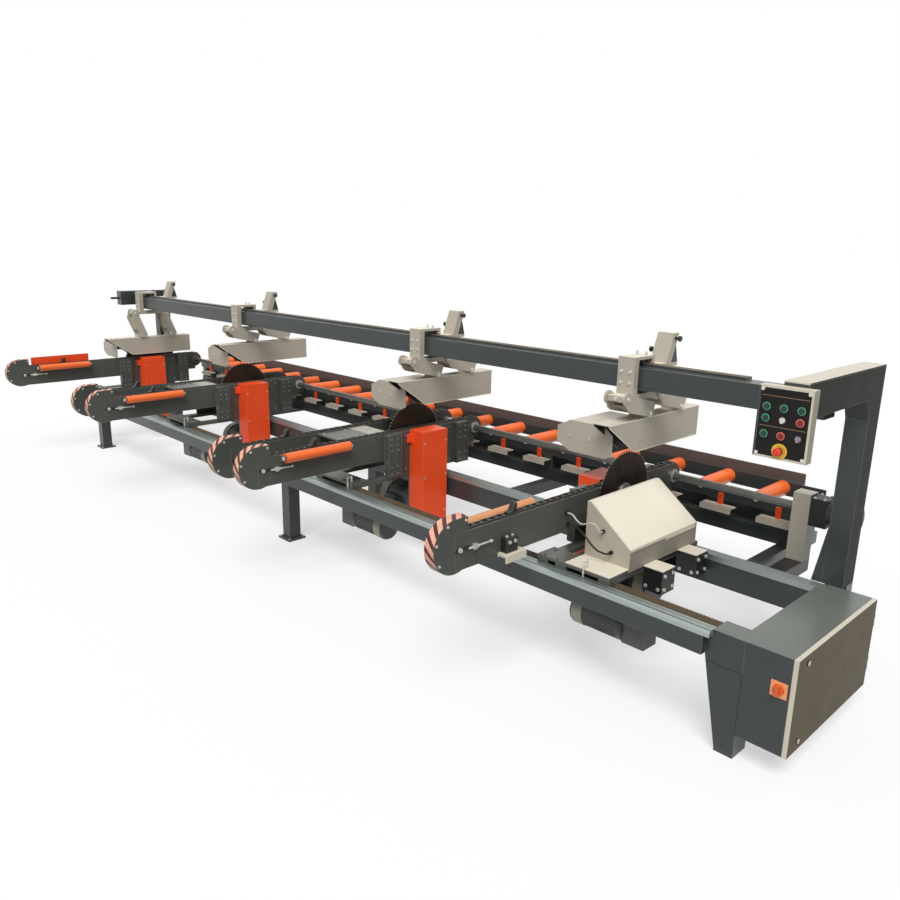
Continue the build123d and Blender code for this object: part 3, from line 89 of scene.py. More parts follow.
# %% [markdown]
# ## A small language for finishes
# A finish is a node tree. Writing it as sums keeps it readable: `Reading` wraps one socket, and each
# sum or product of readings adds a Math node. `Wiring.node` makes every other node, for a material and
# for the sky alike.


# %% Sockets that can be added and multiplied
def operator(operation, swapped=False):
    """A method that adds one Math node; swapped for a plain number on the left."""
    def method(self, other):
        values = (other, self) if swapped else (self, other)
        return self.wiring.math(operation, *values)
    return method


class Reading:
    """One output socket; arithmetic on it adds Math nodes."""

    __add__ = __radd__ = operator("ADD")
    __mul__ = __rmul__ = operator("MULTIPLY")
    __or__ = __ror__ = operator("MAXIMUM")
    __sub__, __rsub__ = operator("SUBTRACT"), operator("SUBTRACT", True)
    __truediv__, __rtruediv__ = operator("DIVIDE"), operator("DIVIDE", True)
    __gt__, __lt__ = operator("GREATER_THAN"), operator("LESS_THAN")

    def __init__(self, wiring, socket):
        self.wiring = wiring
        self.socket = socket


# %% Nodes, and a finish round one shader
class Wiring:
    """A node tree that is written as sums of readings."""

    def __init__(self, tree):
        self.tree = tree

    def node(self, kind, settings=None, sockets=None, output=0):
        """Make a shader node: settings, then values or links; gives a reading of one output."""
        node = self.tree.nodes.new("ShaderNode" + kind)
        for setting, value in (settings or {}).items():
            setattr(node, setting, value)
        for key, value in (sockets or {}).items():
            self.plug(node.inputs[key], value)
        return Reading(self, node.outputs[output])

    def plug(self, socket, value):
        """Link a reading to a socket, or set a plain value; colours are given without alpha."""
        if isinstance(value, Reading):
            self.tree.links.new(value.socket, socket)
        elif socket.type == "RGBA":
            socket.default_value = (*value, 1.0)
        else:
            socket.default_value = value

    def math(self, operation, *values):
        """A Math node; the values fill its sockets in order."""
        return self.node("Math", {"operation": operation}, dict(enumerate(values)))

    def ramp(self, value, low, high, start=0.0, end=1.0):
        """From start below low to end above high."""
        return self.node("MapRange", {"clamp": True}, {0: value, 1: low, 2: high, 3: start, 4: end})

    def seen(self):
        """One for rays that come from the camera, from a mirroring or from a clear surface."""
        names = ("Is Camera Ray", "Is Glossy Ray", "Is Transmission Ray")
        camera_ray, glossy_ray, clear_ray = [self.node("LightPath", output=name) for name in names]
        return camera_ray | glossy_ray | clear_ray


class Finish(Wiring):
    """A material built round one Principled shader."""

    def __init__(self, name, colour, roughness, metallic=0.0, **constants):
        self.material = bpy.data.materials.new(name)
        self.material.use_nodes = True
        super().__init__(self.material.node_tree)
        self.shader = self.tree.nodes["Principled BSDF"]
        self.feed("Base Color", colour)
        self.feed("Roughness", roughness)
        self.feed("Metallic", metallic)
        for socket, value in constants.items():
            self.feed(socket.replace("_", " ").title().replace("Ior", "IOR"), value)

    def feed(self, socket, value):
        self.plug(self.shader.inputs[socket], value)

    def place(self):
        """Position in the machine's frame, in metres."""
        return self.node("TexCoord", output="Object")

    def facing(self, axis):
        """One part of the surface normal in the machine's frame."""
        normal = self.node("TexCoord", output="Normal")
        return self.node("SeparateXYZ", None, {0: normal}, axis)

    def along(self, axis):
        """One part of the position."""
        return self.node("SeparateXYZ", None, {0: self.place()}, axis)

    def band(self, axis, middle, half):
        """One within half of a place on an axis, nought elsewhere."""
        return self.math("COMPARE", self.along(axis), middle, half)

    def stretched(self, scale):
        return self.node("Mapping", None, {"Vector": self.place(), "Scale": scale})

    def noise(self, scale, detail=3.0, vector=None):
        where = vector or self.place()
        return self.node("TexNoise", None, {"Vector": where, "Scale": scale, "Detail": detail})

    def edge(self, width):
        """One along sharp edges, nought on flat faces."""
        rounded = self.node("Bevel", {"samples": 4}, {"Radius": width})
        flat = self.node("NewGeometry", output="Normal")
        both = {0: rounded, 1: flat}
        agree = self.node("VectorMath", {"operation": "DOT_PRODUCT"}, both, "Value")
        return self.ramp(agree, 0.995, 0.85)

    def mix(self, share, first, second):
        """A colour between two; sockets 6 and 7 and output 2 are the Mix node's colours."""
        colours = {0: share, 6: first, 7: second}
        return self.node("Mix", {"data_type": "RGBA"}, colours, 2)

    def tones(self, share, colour, dark, light):
        """From a darker to a lighter shade of one colour."""
        return self.mix(share, shade(colour, dark), shade(colour, light))

    def bump(self, height, strength, distance):
        relief = {"Height": height, "Strength": strength, "Distance": distance}
        self.feed("Normal", self.node("Bump", None, relief))


def srgb(red, green, blue):
    """A colour as it looks on screen, in the linear numbers that a shader wants."""
    scaled = [channel / 255 for channel in (red, green, blue)]
    return tuple(c / 12.92 if c <= 0.04045 else ((c + 0.055) / 1.055) ** 2.4 for c in scaled)


def shade(colour, factor):
    return tuple(min(1.0, channel * factor) for channel in colour)


# %% [markdown]
# ## Paint
# The frame is sprayed anthracite under a gloss coat, the hoods and posts cream and the guards orange.
# Real paint is never one flat tone: it drifts a little over a metre, carries fine orange peel, gathers
# saw dust on faces that look up, and is rubbed along its edges. The pale edges are partly that rubbed
# paint and partly a painted highlight where edges catch the light. The edges come from a Bevel node:
# where the rounded normal and the flat one disagree, there is an edge.


# %% Sprayed paint
DUST = srgb(176, 164, 140)
# Pale edge tone: partly rubbed paint, partly a painted highlight where edges catch the light.
RUBBED_AND_HIGHLIT = srgb(226, 224, 214)
EDGE_WIDTH = 0.0035


def sprayed(name, colour, roughness=0.42, dust=0.25, wear=0.35, edge_pale_share=0.3, **coat):
    """Paint with tone drift, orange peel, dust on upward faces, scuffs, and pale edges (wear and painted
    highlight).
    """
    finish = Finish(name, colour, roughness, **coat)
    drift = finish.noise(1.7, 4.0)
    cloud = finish.noise(9.0, 5.0)
    tone = finish.tones(drift, colour, 0.86, 1.12)
    scuff = finish.ramp(finish.noise(55.0, 6.0) * finish.noise(3.0, 2.0), 0.36, 0.44) * wear
    scuffed = finish.mix(scuff, tone, shade(colour, 0.62))
    upward = finish.ramp(finish.facing(2), 0.6, 0.95)
    settled = upward * finish.ramp(cloud, 0.35, 0.75) * dust
    dusty = finish.mix(settled, scuffed, DUST)
    # Pale along sharp edges: rubbed paint and a painted highlight.
    rubbed_and_highlit = finish.edge(EDGE_WIDTH) * (0.5 + 0.5 * cloud) * edge_pale_share
    finish.feed("Base Color", finish.mix(rubbed_and_highlit, dusty, RUBBED_AND_HIGHLIT))
    finish.feed("Roughness", roughness - 0.08 + 0.16 * cloud + 0.2 * settled)
    finish.bump(finish.noise(620.0, 2.0), 0.18, 0.0004)
    return finish.material


ANTHRACITE = srgb(56, 62, 62)
CREAM = srgb(214, 205, 187)
ORANGE = srgb(255, 84, 36)
SHEEN = dict(coat_weight=0.15, coat_roughness=0.15, specular_ior_level=0.35)
DULL = dict(specular_ior_level=0.04)
anthracite = sprayed("anthracite_paint", ANTHRACITE, 0.34, 0.10, **SHEEN)
# A lighter grey than the frame's anthracite: a painted sheen standing in for light reflected off the arms.
arm_grey_with_painted_sheen = sprayed("arm_grey_painted_sheen", srgb(80, 82, 77), 0.36, 0.10, **SHEEN)
# A lighter grey for the upward faces of the right end: a painted sheen standing in for reflected light.
sheen_painted_grey = sprayed("anthracite_with_painted_sheen", srgb(104, 109, 103), 0.30, 0.0, 0.15, 0.0, **SHEEN)
# A darker copy of the anthracite: painted shade on the end column's right faces.
shaded_grey = sprayed("anthracite_painted_shade_on_the_end", srgb(42, 43, 38), 0.45, 0.0, **DULL)
cream = sprayed("cream_paint", CREAM, 0.45, 0.10)
# A darker copy of the cream with more scuffs: the scuffs are wear, the darkening is painted shade for the
# sides of hoods, carriers, links and the cover.
worn_and_shaded_cream = sprayed("cream_paint_worn_and_shaded", shade(CREAM, 0.70), 0.5, 0.35, 0.5)
# A much darker copy of the cream: painted shade on faces that look right.
shaded_cream = sprayed("cream_paint_painted_shade_on_the_side", shade(CREAM, 0.46), 0.5, 0.2, specular_ior_level=0.2)
# A lighter copy of the cream, a painted highlight: used on faces that look up, on the hood rims and on the
# lid.
highlight_cream = sprayed("cream_paint_painted_highlight", srgb(232, 224, 204), 0.45, 0.05, 0.2)
guard_orange = sprayed("orange_guard_paint", ORANGE, 0.4, 0.05, 0.15, specular_ior_level=0.3)
# The door face's dark brown-grey is painted shade on a cream door.
door_painted_shade = sprayed("door_face_painted_shade", srgb(90, 81, 61), 0.4, 0.0, 0.2, **DULL)
fence_brown = sprayed("fence_brown_paint", srgb(98, 84, 80), 0.5, 0.15)
black_paint = sprayed("black_paint", srgb(28, 28, 29), 0.42, 0.06)
fan_grey = sprayed("fan_cover_paint", srgb(150, 148, 130), 0.4, 0.1)
print("paints ready:", len(bpy.data.materials))

# %% [markdown]
# ## Bare steel, rubber and plastic
# The rail is ground bright and streaked along its length, the rack and the blades carry brown resin,
# the chain is oily. A noise that is stretched along one axis gives grinding streaks. Two fine dark lines
# along the rail are the joints of its ground inlay.

# %% Metals
RESIN, JOINT_DARK = srgb(92, 72, 52), srgb(34, 36, 36)
JOINT_HALF = 0.0016


def ground_steel(name, colour, roughness, stretch, stain=0.3, metallic=0.9, joints=()):
    """Steel with streaks along one axis, brown stains and dark joints at the given Y places."""
    finish = Finish(name, colour, roughness, metallic)
    streak = finish.noise(1.0, 4.0, finish.stretched(stretch))
    stains = finish.ramp(finish.noise(14.0, 5.0), 0.45, 0.75) * stain
    bright = finish.tones(streak, colour, 0.8, 1.15)
    face = finish.mix(stains, bright, RESIN)
    for y in joints:
        face = finish.mix(finish.band(1, y, JOINT_HALF), face, JOINT_DARK)
    finish.feed("Base Color", face)
    finish.feed("Roughness", roughness + 0.18 * streak + 0.2 * stains)
    finish.bump(streak, 0.12, 0.0005)
    return finish.material


ALONG_X, ALONG_Y, ROUND_X = (2.0, 240.0, 240.0), (240.0, 2.0, 240.0), (400.0, 30.0, 30.0)
RAIL_JOINTS = (-0.4555, -0.4245)
rail_steel = ground_steel("ground_rail_steel", srgb(166, 176, 172), 0.3, ALONG_X, 0.08, 0.7, RAIL_JOINTS)
rack_steel = ground_steel("brown_rack_steel", srgb(112, 98, 78), 0.5, ROUND_X, 0.6, 0.6)
shaft_steel = ground_steel("drawn_shaft_steel", srgb(196, 198, 198), 0.28, ALONG_X, 0.1)
long_shaft_steel = ground_steel("oiled_shaft_steel", srgb(118, 117, 112), 0.36, ALONG_X, 0.3, 0.8)
bolt_steel = ground_steel("zinc_bolt_steel", srgb(206, 206, 198), 0.38, ROUND_X, 0.1, 0.7)
dull_bolt = ground_steel("oiled_bolt_steel", srgb(140, 140, 132), 0.42, ROUND_X, 0.3, 0.7)
chain_steel = ground_steel("oiled_chain_steel", srgb(112, 110, 104), 0.38, ROUND_X, 0.5)
dark_steel = ground_steel("blued_steel", srgb(52, 53, 55), 0.42, ALONG_Y, 0.2, 0.7)
table_steel = ground_steel("worn_table_steel", srgb(190, 186, 172), 0.34, ALONG_Y, 0.25, 0.6)
print("metals ready")

# %% The blade: dark body, resin and a polished rim
BLADE_Y, BLADE_Z, BLADE_R = 0.186, 0.808, 0.235
finish = Finish("resin_stained_blade", srgb(88, 74, 62), 0.45, 0.75)
up, ahead = finish.along(2) - BLADE_Z, finish.along(1) - BLADE_Y
reach = finish.math("SQRT", up * up + ahead * ahead)
rim = finish.ramp(reach, BLADE_R - 0.011, BLADE_R - 0.007)
rings = finish.noise(1.0, 3.0, finish.stretched((20.0, 26.0, 26.0)))
resin = finish.ramp(finish.noise(11.0, 6.0), 0.4, 0.7)
body = finish.mix(rings, srgb(38, 33, 30), srgb(66, 58, 52))
stained = finish.mix(resin * 0.6, body, srgb(58, 40, 30))
finish.feed("Base Color", finish.mix(rim, stained, srgb(150, 141, 128)))
finish.feed("Roughness", 0.32 + 0.3 * resin)
blade_steel = finish.material
print("blade finish ready")


# %% Plastics
def moulded(name, colour, roughness=0.35, **shine):
    """Moulded plastic: a very fine texture and a faint tone change."""
    finish = Finish(name, colour, roughness, **shine)
    grain = finish.noise(900.0, 1.0)
    finish.feed("Base Color", finish.tones(grain, colour, 0.9, 1.08))
    finish.feed("Roughness", roughness - 0.05 + 0.1 * grain)
    finish.bump(grain, 0.1, 0.0001)
    return finish.material


PLASTICS = dict(
    green_ring=(78, 158, 124), dark_green_cap=(18, 50, 39), red_knob=(226, 56, 40),
    faded_red_ring=(226, 112, 98), dark_red_cap=(126, 34, 34), white_knob=(226, 228, 220),
    silver_knob=(156, 146, 158), black_plastic=(24, 24, 25), yellow_disc=(238, 190, 62),
    switch_plate_orange=(250, 164, 112), switch_knob_orange=(222, 98, 42), brown_panel_line=(150, 112, 84))
plastic = {name: moulded(name, srgb(*colour)) for name, colour in PLASTICS.items()}
black_plastic = plastic["black_plastic"]
panel_black = moulded("black_panel_face", srgb(24, 19, 19), 0.4, specular_ior_level=0.2)
pale_sheath = moulded("pale_cable_sheath", srgb(196, 192, 178), 0.5)
rubber = moulded("black_rubber", srgb(22, 22, 22), 0.7)
print("plastics ready")


# %% Roller coating
def roller_coat(name, colour):
    """Orange coating that boards have polished in rings."""
    finish = Finish(name, colour, 0.38)
    rings = finish.noise(1.0, 3.0, finish.stretched((3.0, 160.0, 3.0)))
    worn = finish.ramp(rings, 0.5, 0.8)
    cloud = finish.noise(20.0, 4.0)
    tone = finish.tones(cloud, colour, 0.9, 1.08)
    finish.feed("Base Color", finish.mix(worn * 0.25, tone, srgb(214, 150, 108)))
    finish.feed("Roughness", 0.3 + 0.25 * worn)
    return finish.material


roller_orange = roller_coat("roller_orange", srgb(255, 112, 44))
pale_roller = roller_coat("roller_orange_pale", srgb(218, 150, 102))
print("roller coats ready")

# %% [markdown]
# ## Striped tape
# The noses of the chain arms wear striped warning tape. A stripe is a count along the tape's own length:
# round the arc it is an angle times the radius, on the flat top a plain distance. Adding a share of X
# slants the stripes, and the fraction of the count decides between light and dark.

# %% Tape round the noses
STRIPE_PITCH, STRIPE_SLANT, LIGHT_SHARE = 0.058, 0.9, 0.56
NOSE_Y, NOSE_Z, NOSE_R, NOSE_FLAT = -1.078, 0.815, 0.128, 0.078
TAPE_END = 0.728
finish = Finish("striped_nose_tape", srgb(226, 112, 74), 0.45)
height = finish.along(2) - NOSE_Z
ahead = NOSE_Y - finish.along(1)
arc = finish.math("ARCTAN2", height, ahead) * NOSE_R
flat = finish.along(1) - NOSE_Y
beyond = finish.ramp(flat, 0.0, 0.001)
length = arc * (1 - beyond) + beyond * (flat + NOSE_R * pi / 2)
phase = (length + STRIPE_SLANT * finish.along(0)) / STRIPE_PITCH
dark = finish.math("FRACT", phase) > LIGHT_SHARE
grime = finish.noise(30.0, 5.0)
warm = finish.mix(grime, srgb(214, 134, 106), srgb(248, 200, 172))
finish.feed("Base Color", finish.mix(dark, warm, srgb(66, 20, 15)))
finish.feed("Roughness", 0.35 + 0.25 * grime)
tape = finish.material
print("finishes ready:", len(bpy.data.materials))

# %% [markdown]
# ## Painting the solids
# A CAD node keeps its mesh. It gets a list of finishes, and each of its faces is given one of them by
# where the face lies and where it looks, which is how a painter masks off a casting.

# %% Masking faces of a node
HEADS = (1, 2, 3, 4)


def paint(node, finish, *masks):
    """Paint a node; each mask is (finish, test of a face's middle and normal)."""
    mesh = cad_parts[node].data
    mesh.materials.clear()
    for coat in [finish] + [mask[0] for mask in masks]:
        mesh.materials.append(coat)
    for face in mesh.polygons:
        face.material_index = 0
        for number, (_, test) in enumerate(masks, 1):
            if test(face.center, face.normal):
                face.material_index = number


def inside(x0, x1, y0, y1, z0, z1):
    """A test for faces in a box."""
    return lambda m, n: x0 < m.x < x1 and y0 < m.y < y1 and z0 < m.z < z1


def looks_up(middle, normal):
    return normal.z > 0.7


def looks_right(middle, normal):
    return normal.x > 0.9


def on_nose_rim(middle, normal):
    """True on the rounded front edge and the flat top of a chain arm's nose."""
    if abs(normal.x) > 0.2 or middle.z < TAPE_END or middle.y > NOSE_Y + NOSE_FLAT + 0.001:
        return False
    reach = hypot(middle.y - NOSE_Y, middle.z - NOSE_Z)
    return reach > NOSE_R - 0.005 if middle.y < NOSE_Y else middle.z > NOSE_Z + NOSE_R - 0.002


# %% Frame, cabinet, gantry and conveyor
ARM_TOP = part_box("gantry_frame")[1].z
LOCK_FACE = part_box("cabinet_door")[1].x
DOOR_FACE = LOCK_FACE - 0.004
POST_RIGHT, END_START, PANEL_LEFT, ARM_START = 3.3595, 3.420, 3.4935, 3.5


def end_top(middle, normal):
    """True on the upward faces of the machine's right end."""
    return normal.z > 0.9 and middle.x > END_START


# Upward faces of the right end get the lighter grey, a painted sheen.
paint("base_frame", anthracite, (sheen_painted_grey, end_top))
paint("guide_rails", rail_steel, (rack_steel, lambda m, n: -0.40 < m.y < -0.32))
paint("cabinet_shell", anthracite, (sheen_painted_grey, end_top))
# The door's front face is painted dark as shade; its edges keep the cream.
paint("cabinet_door", cream, (door_painted_shade, lambda m, n: n.x > 0.9 and abs(m.x - DOOR_FACE) < 0.001))
# The end column's right faces are painted darker as shade.
paint("gantry_frame", anthracite,
      (cream, lambda m, n: m.z > ARM_TOP - 0.0065 and m.x > ARM_START),
      (shaded_grey, lambda m, n: n.x > 0.9 and m.x > ARM_START),
      (rack_steel, lambda m, n: 1.5005 < m.z < 1.5145 and 0.205 < m.y < 0.270 and n.z > 0.5))
# The control box's right faces are painted darker as shade.
paint("control_box", cream,
      (shaded_cream, looks_right),
      (anthracite, lambda m, n: m.y < -0.298 and m.x < PANEL_LEFT + 0.0003 and abs(n.z) < 0.5),
      (panel_black, inside(PANEL_LEFT, 3.6905, -0.360, -0.341, 1.3105, 1.5805)))
paint("conveyor_frame", anthracite, (fence_brown, lambda m, n: m.y > 1.189 and m.z > 0.75))
paint("idle_rollers", roller_orange)
# The drive post's right face is painted in the dark anthracite as shade.
paint("chain_drive", cream,
      (anthracite, lambda m, n: n.x > 0.9 and m.x < POST_RIGHT + 0.001),
      (black_paint, lambda m, n: m.x > POST_RIGHT + 0.001 or m.z < 0.5205))
paint("drive_shaft", long_shaft_steel)
print("frame painted")

# %% Controls
CAPS = ["dark_green_cap"] * 4 + ["dark_red_cap", "dark_green_cap", "dark_red_cap"]
for number, cap in enumerate(CAPS, 1):
    paint(f"push_button_{number}", plastic[cap])
paint("main_switch", plastic["switch_knob_orange"])
paint("emergency_stop", plastic["red_knob"], (black_plastic, lambda m, n: m.y > -0.360))
paint("selector_1", plastic["white_knob"])
paint("selector_2", plastic["silver_knob"])
print("painted", len(CAPS), "buttons")

# %% Heads
HEAD_1_MASKS = [
    (black_paint, inside(2.9049, 3.016, -0.14, 0.32, 0.45, 0.5749)),  # bearing blocks
    (pale_sheath, inside(2.5565, 2.76, -0.317, -0.2685, 0.7405, 0.805)),  # pale lead
    (rubber, inside(2.5565, 2.81, -0.317, -0.2685, 0.64, 0.7405)),  # dark lead
    (black_plastic, inside(2.5425, 2.5565, -0.312, -0.274, 0.72, 0.815)),  # glands on the arm
    (black_plastic, inside(2.73, 2.815, -0.269, -0.2545, 0.635, 0.76)),  # glands on the cover
]
# The cover is painted lighter on top and darker on its right side: painted light and shade.
paint("saw_cover_1", worn_and_shaded_cream, (highlight_cream, looks_up), (shaded_cream, looks_right))
for head in HEADS:
    paint(f"carriage_{head}", arm_grey_with_painted_sheen, (tape, on_nose_rim), *(HEAD_1_MASKS if head == 1 else ()))
    paint(f"belt_guard_{head}", guard_orange)
for head in HEADS[:3]:
    paint(f"load_roller_{head}", pale_roller if head == 1 else roller_orange)
    paint(f"drive_sprocket_{head}", shaft_steel)
print("heads painted")

# %% Hold-downs
PIN_REACH, PRESS_WIDTH = 0.016, 0.100


def plate_sides(node):
    """X of the outer faces of the two side plates of a hood or a carrier."""
    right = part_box(node)[1].x - PIN_REACH
    return right - PRESS_WIDTH, right


def inside_hood(node):
    """A test for the inner faces of a hood's side plates and for its underside, which are painted black as
    shade.
    """
    left, right = plate_sides(node)

    def test(m, n):
        in_left, in_right = m.x < left + 0.020, right - 0.020 < m.x < right
        return n.z < -0.9 or (n.x > 0.9 and in_left) or (n.x < -0.9 and in_right)
    return test


def shaded_rear_of_lock_bar(m, n):
    """True on the rear of the leaning bar, painted black as shade."""
    return m.z > 1.5003 and m.y > 0.451 + (m.z - 1.5) * 0.374 and n.z > -0.2


# The carrier's faces by the roller track are painted black as shade in the gap.
roller_gap_shade = inside(-9.0, 9.0, 0.200, 0.262, 1.5135, 1.5381)
for head in HEADS:
    hood = f"press_hood_{head}"
    # Hood and carrier tops lighter and sides darker: painted light and shade; inner faces painted black as
    # shade.
    paint(hood, worn_and_shaded_cream, (cream, looks_up), (black_paint, inside_hood(hood)))
    paint(f"press_carrier_{head}", worn_and_shaded_cream, (highlight_cream, looks_up), (black_paint, shaded_rear_of_lock_bar),
          (black_paint, roller_gap_shade))
    for place in ("front", "rear"):
        paint(f"press_{place}_link_{head}", worn_and_shaded_cream)
print("painted", len(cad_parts), "nodes")

# %% [markdown]
# ## A collector for small pieces
# Bolts, links and fins are all prisms: an outline pushed along one axis. `Shape` gathers the prisms of a
# piece, straight in the machine's frame, and turns them into one object that rides on its body. A bevel
# modifier breaks its edges.


# %% Prisms, rods, tubes and bolts
class Shape:
    """Faces of one piece, in the machine's frame, in metres."""

    def __init__(self):
        self.points = []
        self.faces = []

    def ring(self, axis, outline, depth):
        """Add an outline's points at a depth along an axis; gives their numbers."""
        base = len(self.points)
        for a, b in outline:
            self.points.append({"x": (depth, a, b), "y": (a, depth, b), "z": (a, b, depth)}[axis])
        return list(range(base, len(self.points)))

    def strip(self, first, second):
        """Join two rings by a band of faces."""
        for i in range(len(first)):
            j = (i + 1) % len(first)
            self.faces.append((first[i], first[j], second[j], second[i]))

    def prism(self, axis, outline, start, end):
        """Push an outline along an axis; its two numbers are the other axes in order."""
        near, far = self.ring(axis, outline, start), self.ring(axis, outline, end)
        self.strip(near, far)
        self.faces += [tuple(reversed(near)), tuple(far)]
        return self

    def block(self, x0, x1, y0, y1, z0, z1):
        return self.prism("z", [(x0, y0), (x1, y0), (x1, y1), (x0, y1)], z0, z1)

    def rod(self, axis, middle, radius, start, end, sides=24):
        return self.prism(axis, circle(middle, radius, sides), start, end)

    def tube(self, axis, middle, outer, inner, start, end, sides=32):
        """A ring between two radii."""
        big, small = circle(middle, outer, sides), circle(middle, inner, sides)
        rings = [self.ring(axis, big, start), self.ring(axis, big, end)]
        rings += [self.ring(axis, small, end), self.ring(axis, small, start)]
        for number in range(4):
            self.strip(rings[number], rings[(number + 1) % 4])
        return self

    def bolt(self, axis, middle, face, size, out=1):
        """A washer and a hexagon head standing on a face that looks along an axis."""
        self.rod(axis, middle, size, face, face + out * 0.15 * size, 16)
        return self.rod(axis, middle, 0.8 * size, face + out * 0.15 * size, face + out * 0.75 * size, 6)

    def bolts(self, axis, firsts, seconds, face, size, out=1):
        """Bolts at every crossing of two rows of places."""
        for first in firsts:
            for second in seconds:
                self.bolt(axis, (first, second), face, size, out)

    def piece(self, name, body, coat, slot, bevel=0.0, replaces=()):
        """Make the object, smooth it, let it ride on its body."""
        mesh = bpy.data.meshes.new(name)
        mesh.from_pydata(self.points, [], self.faces)
        work = bmesh.new()
        work.from_mesh(mesh)
        bmesh.ops.recalc_face_normals(work, faces=work.faces)
        work.to_mesh(mesh)
        work.free()
        mesh.materials.append(coat)
        mesh.polygons.foreach_set("use_smooth", [True] * len(mesh.polygons))
        mesh.set_sharp_from_angle(angle=radians(35))
        item = put(name, mesh)
        if bevel:
            edge = item.modifiers.new("broken_edges", "BEVEL")
            edge.width, edge.segments, edge.limit_method = bevel, 2, "ANGLE"
        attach(item, body)
        if replaces:
            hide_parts(*replaces)
        return item


def polar(middle, radius, angle):
    """The point at an angle on a circle."""
    return middle[0] + radius * cos(angle), middle[1] + radius * sin(angle)


def circle(middle, radius, sides):
    return [polar(middle, radius, 2 * pi * i / sides) for i in range(sides)]


# %% [markdown]
# ## Where the heads are
# Heads 2, 3 and 4 have the blade left of the arm and the guard right of it; head 1 is the mirror image.
# So a place on a head is a distance from the middle of its main arm, turned round for head 1. Head 4 is
# fixed: its pieces ride on the machine itself.

# %% Heads, arms and bodies
ARM_HALF = 0.030
CHAIN_HALF = 0.015
MIDDLE = {head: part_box(f"feed_chain_{head}")[1].x - CHAIN_HALF for head in HEADS}
SIDE = {1: -1, 2: 1, 3: 1, 4: 1}
BODY = {head: f"head_{head}" if head < 4 else "machine" for head in HEADS}
CARRIER = {head: f"press_carrier_{head}" if head < 4 else "machine" for head in HEADS}
ARM_MIDDLES = {head: [MIDDLE[head]] for head in HEADS}
for head in (2, 3):
    ARM_MIDDLES[head].append(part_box(f"feed_chain_{head}")[0].x + CHAIN_HALF)


def across(head, *distances):
    """X of distances from the main arm's middle, in rising order."""
    return sorted(MIDDLE[head] + SIDE[head] * distance for distance in distances)


print("arm middles", [rounded(ARM_MIDDLES[head]) for head in HEADS])

# %% [markdown]
# ## Roller chains
# The CAD keeps a plain loop in place of each arm's roller chain. Here the loop is walked link by link,
# along two straight runs and two half circles: narrow and wide pairs of side plates by turns, with a
# roller and a pin at each joint.

# %% Walking the chain loop
IDLER_Y, SHAFT_Y, AXIS_Z, CHAIN_MID = -1.080, 0.710, 0.800, 0.076
SHAFT = (SHAFT_Y, AXIS_Z)
CHAIN_TOP = 0.882
RUN = SHAFT_Y - IDLER_Y
BEND = pi * CHAIN_MID
LINKS = 82
CHAIN_PITCH = 2 * (RUN + BEND) / LINKS


def loop_place(distance):
    """Point of the chain loop, from the front end of the upper run."""
    distance %= 2 * (RUN + BEND)
    if distance < RUN:
        return IDLER_Y + distance, AXIS_Z + CHAIN_MID
    if distance < RUN + BEND:
        angle = pi / 2 - (distance - RUN) / CHAIN_MID
        return polar(SHAFT, CHAIN_MID, angle)
    if distance < 2 * RUN + BEND:
        return SHAFT_Y - (distance - RUN - BEND), AXIS_Z - CHAIN_MID
    angle = -pi / 2 - (distance - 2 * RUN - BEND) / CHAIN_MID
    return polar((IDLER_Y, AXIS_Z), CHAIN_MID, angle)


def link_outline(start, end, half):
    """A plate with round ends about two joints."""
    lean = atan2(end[1] - start[1], end[0] - start[0])
    outline = []
    for joint, first in ((end, lean - pi / 2), (start, lean + pi / 2)):
        outline += [polar(joint, half, first + pi * step / 5) for step in range(6)]
    return outline


# %% Links, rollers, pins and pusher lugs
def chain_loop(shape, middle):
    for number in range(LINKS):
        start, end = loop_place(number * CHAIN_PITCH), loop_place((number + 1) * CHAIN_PITCH)
        inner = 0.0105 if number % 2 else 0.0135
        outline = link_outline(start, end, 0.006)
        for side in (-1, 1):
            shape.prism("x", outline, middle + side * inner, middle + side * (inner + 0.0024))
        shape.rod("x", start, 0.0055, middle - 0.0100, middle + 0.0100, 12)
        shape.rod("x", start, 0.0032, middle - 0.0175, middle + 0.0175, 8)


def pusher_lug(shape, middle):
    """A hook that stands on the upper run and pushes the boards."""
    foot = CHAIN_TOP - 0.001
    back = [(-0.640, foot), (-0.640, foot + 0.008), (-0.656, foot + 0.012), (-0.656, foot + 0.046)]
    front = [(-0.668, foot + 0.047), (-0.678, foot + 0.036), (-0.690, foot + 0.010), (-0.712, foot + 0.006)]
    shape.prism("x", [(-0.712, foot)] + back + front, middle - CHAIN_HALF, middle + CHAIN_HALF)


for head in HEADS:
    chain, lugs = Shape(), Shape()
    for middle in ARM_MIDDLES[head]:
        chain_loop(chain, middle)
        pusher_lug(lugs, middle)
    stood_for = [f"feed_chain_{head}"]
    chain.piece(f"roller_chain_{head}", BODY[head], chain_steel, "chain_steel", replaces=stood_for)
    lugs.piece(f"pusher_lugs_{head}", BODY[head], black_paint, "chain_steel", 0.0012)
print("chain pitch", round(CHAIN_PITCH * 1000, 1), "mm,", LINKS, "links")

# %% [markdown]
# ## Saw blades
# A cross-cut blade has some sixty carbide teeth. Its outline is one closed polygon: a tip, a short back,
# a gullet and the rise to the next tip. Flanges, nut, spindle and grooved pulley are turned parts on the
# same axis, so they spin with it.

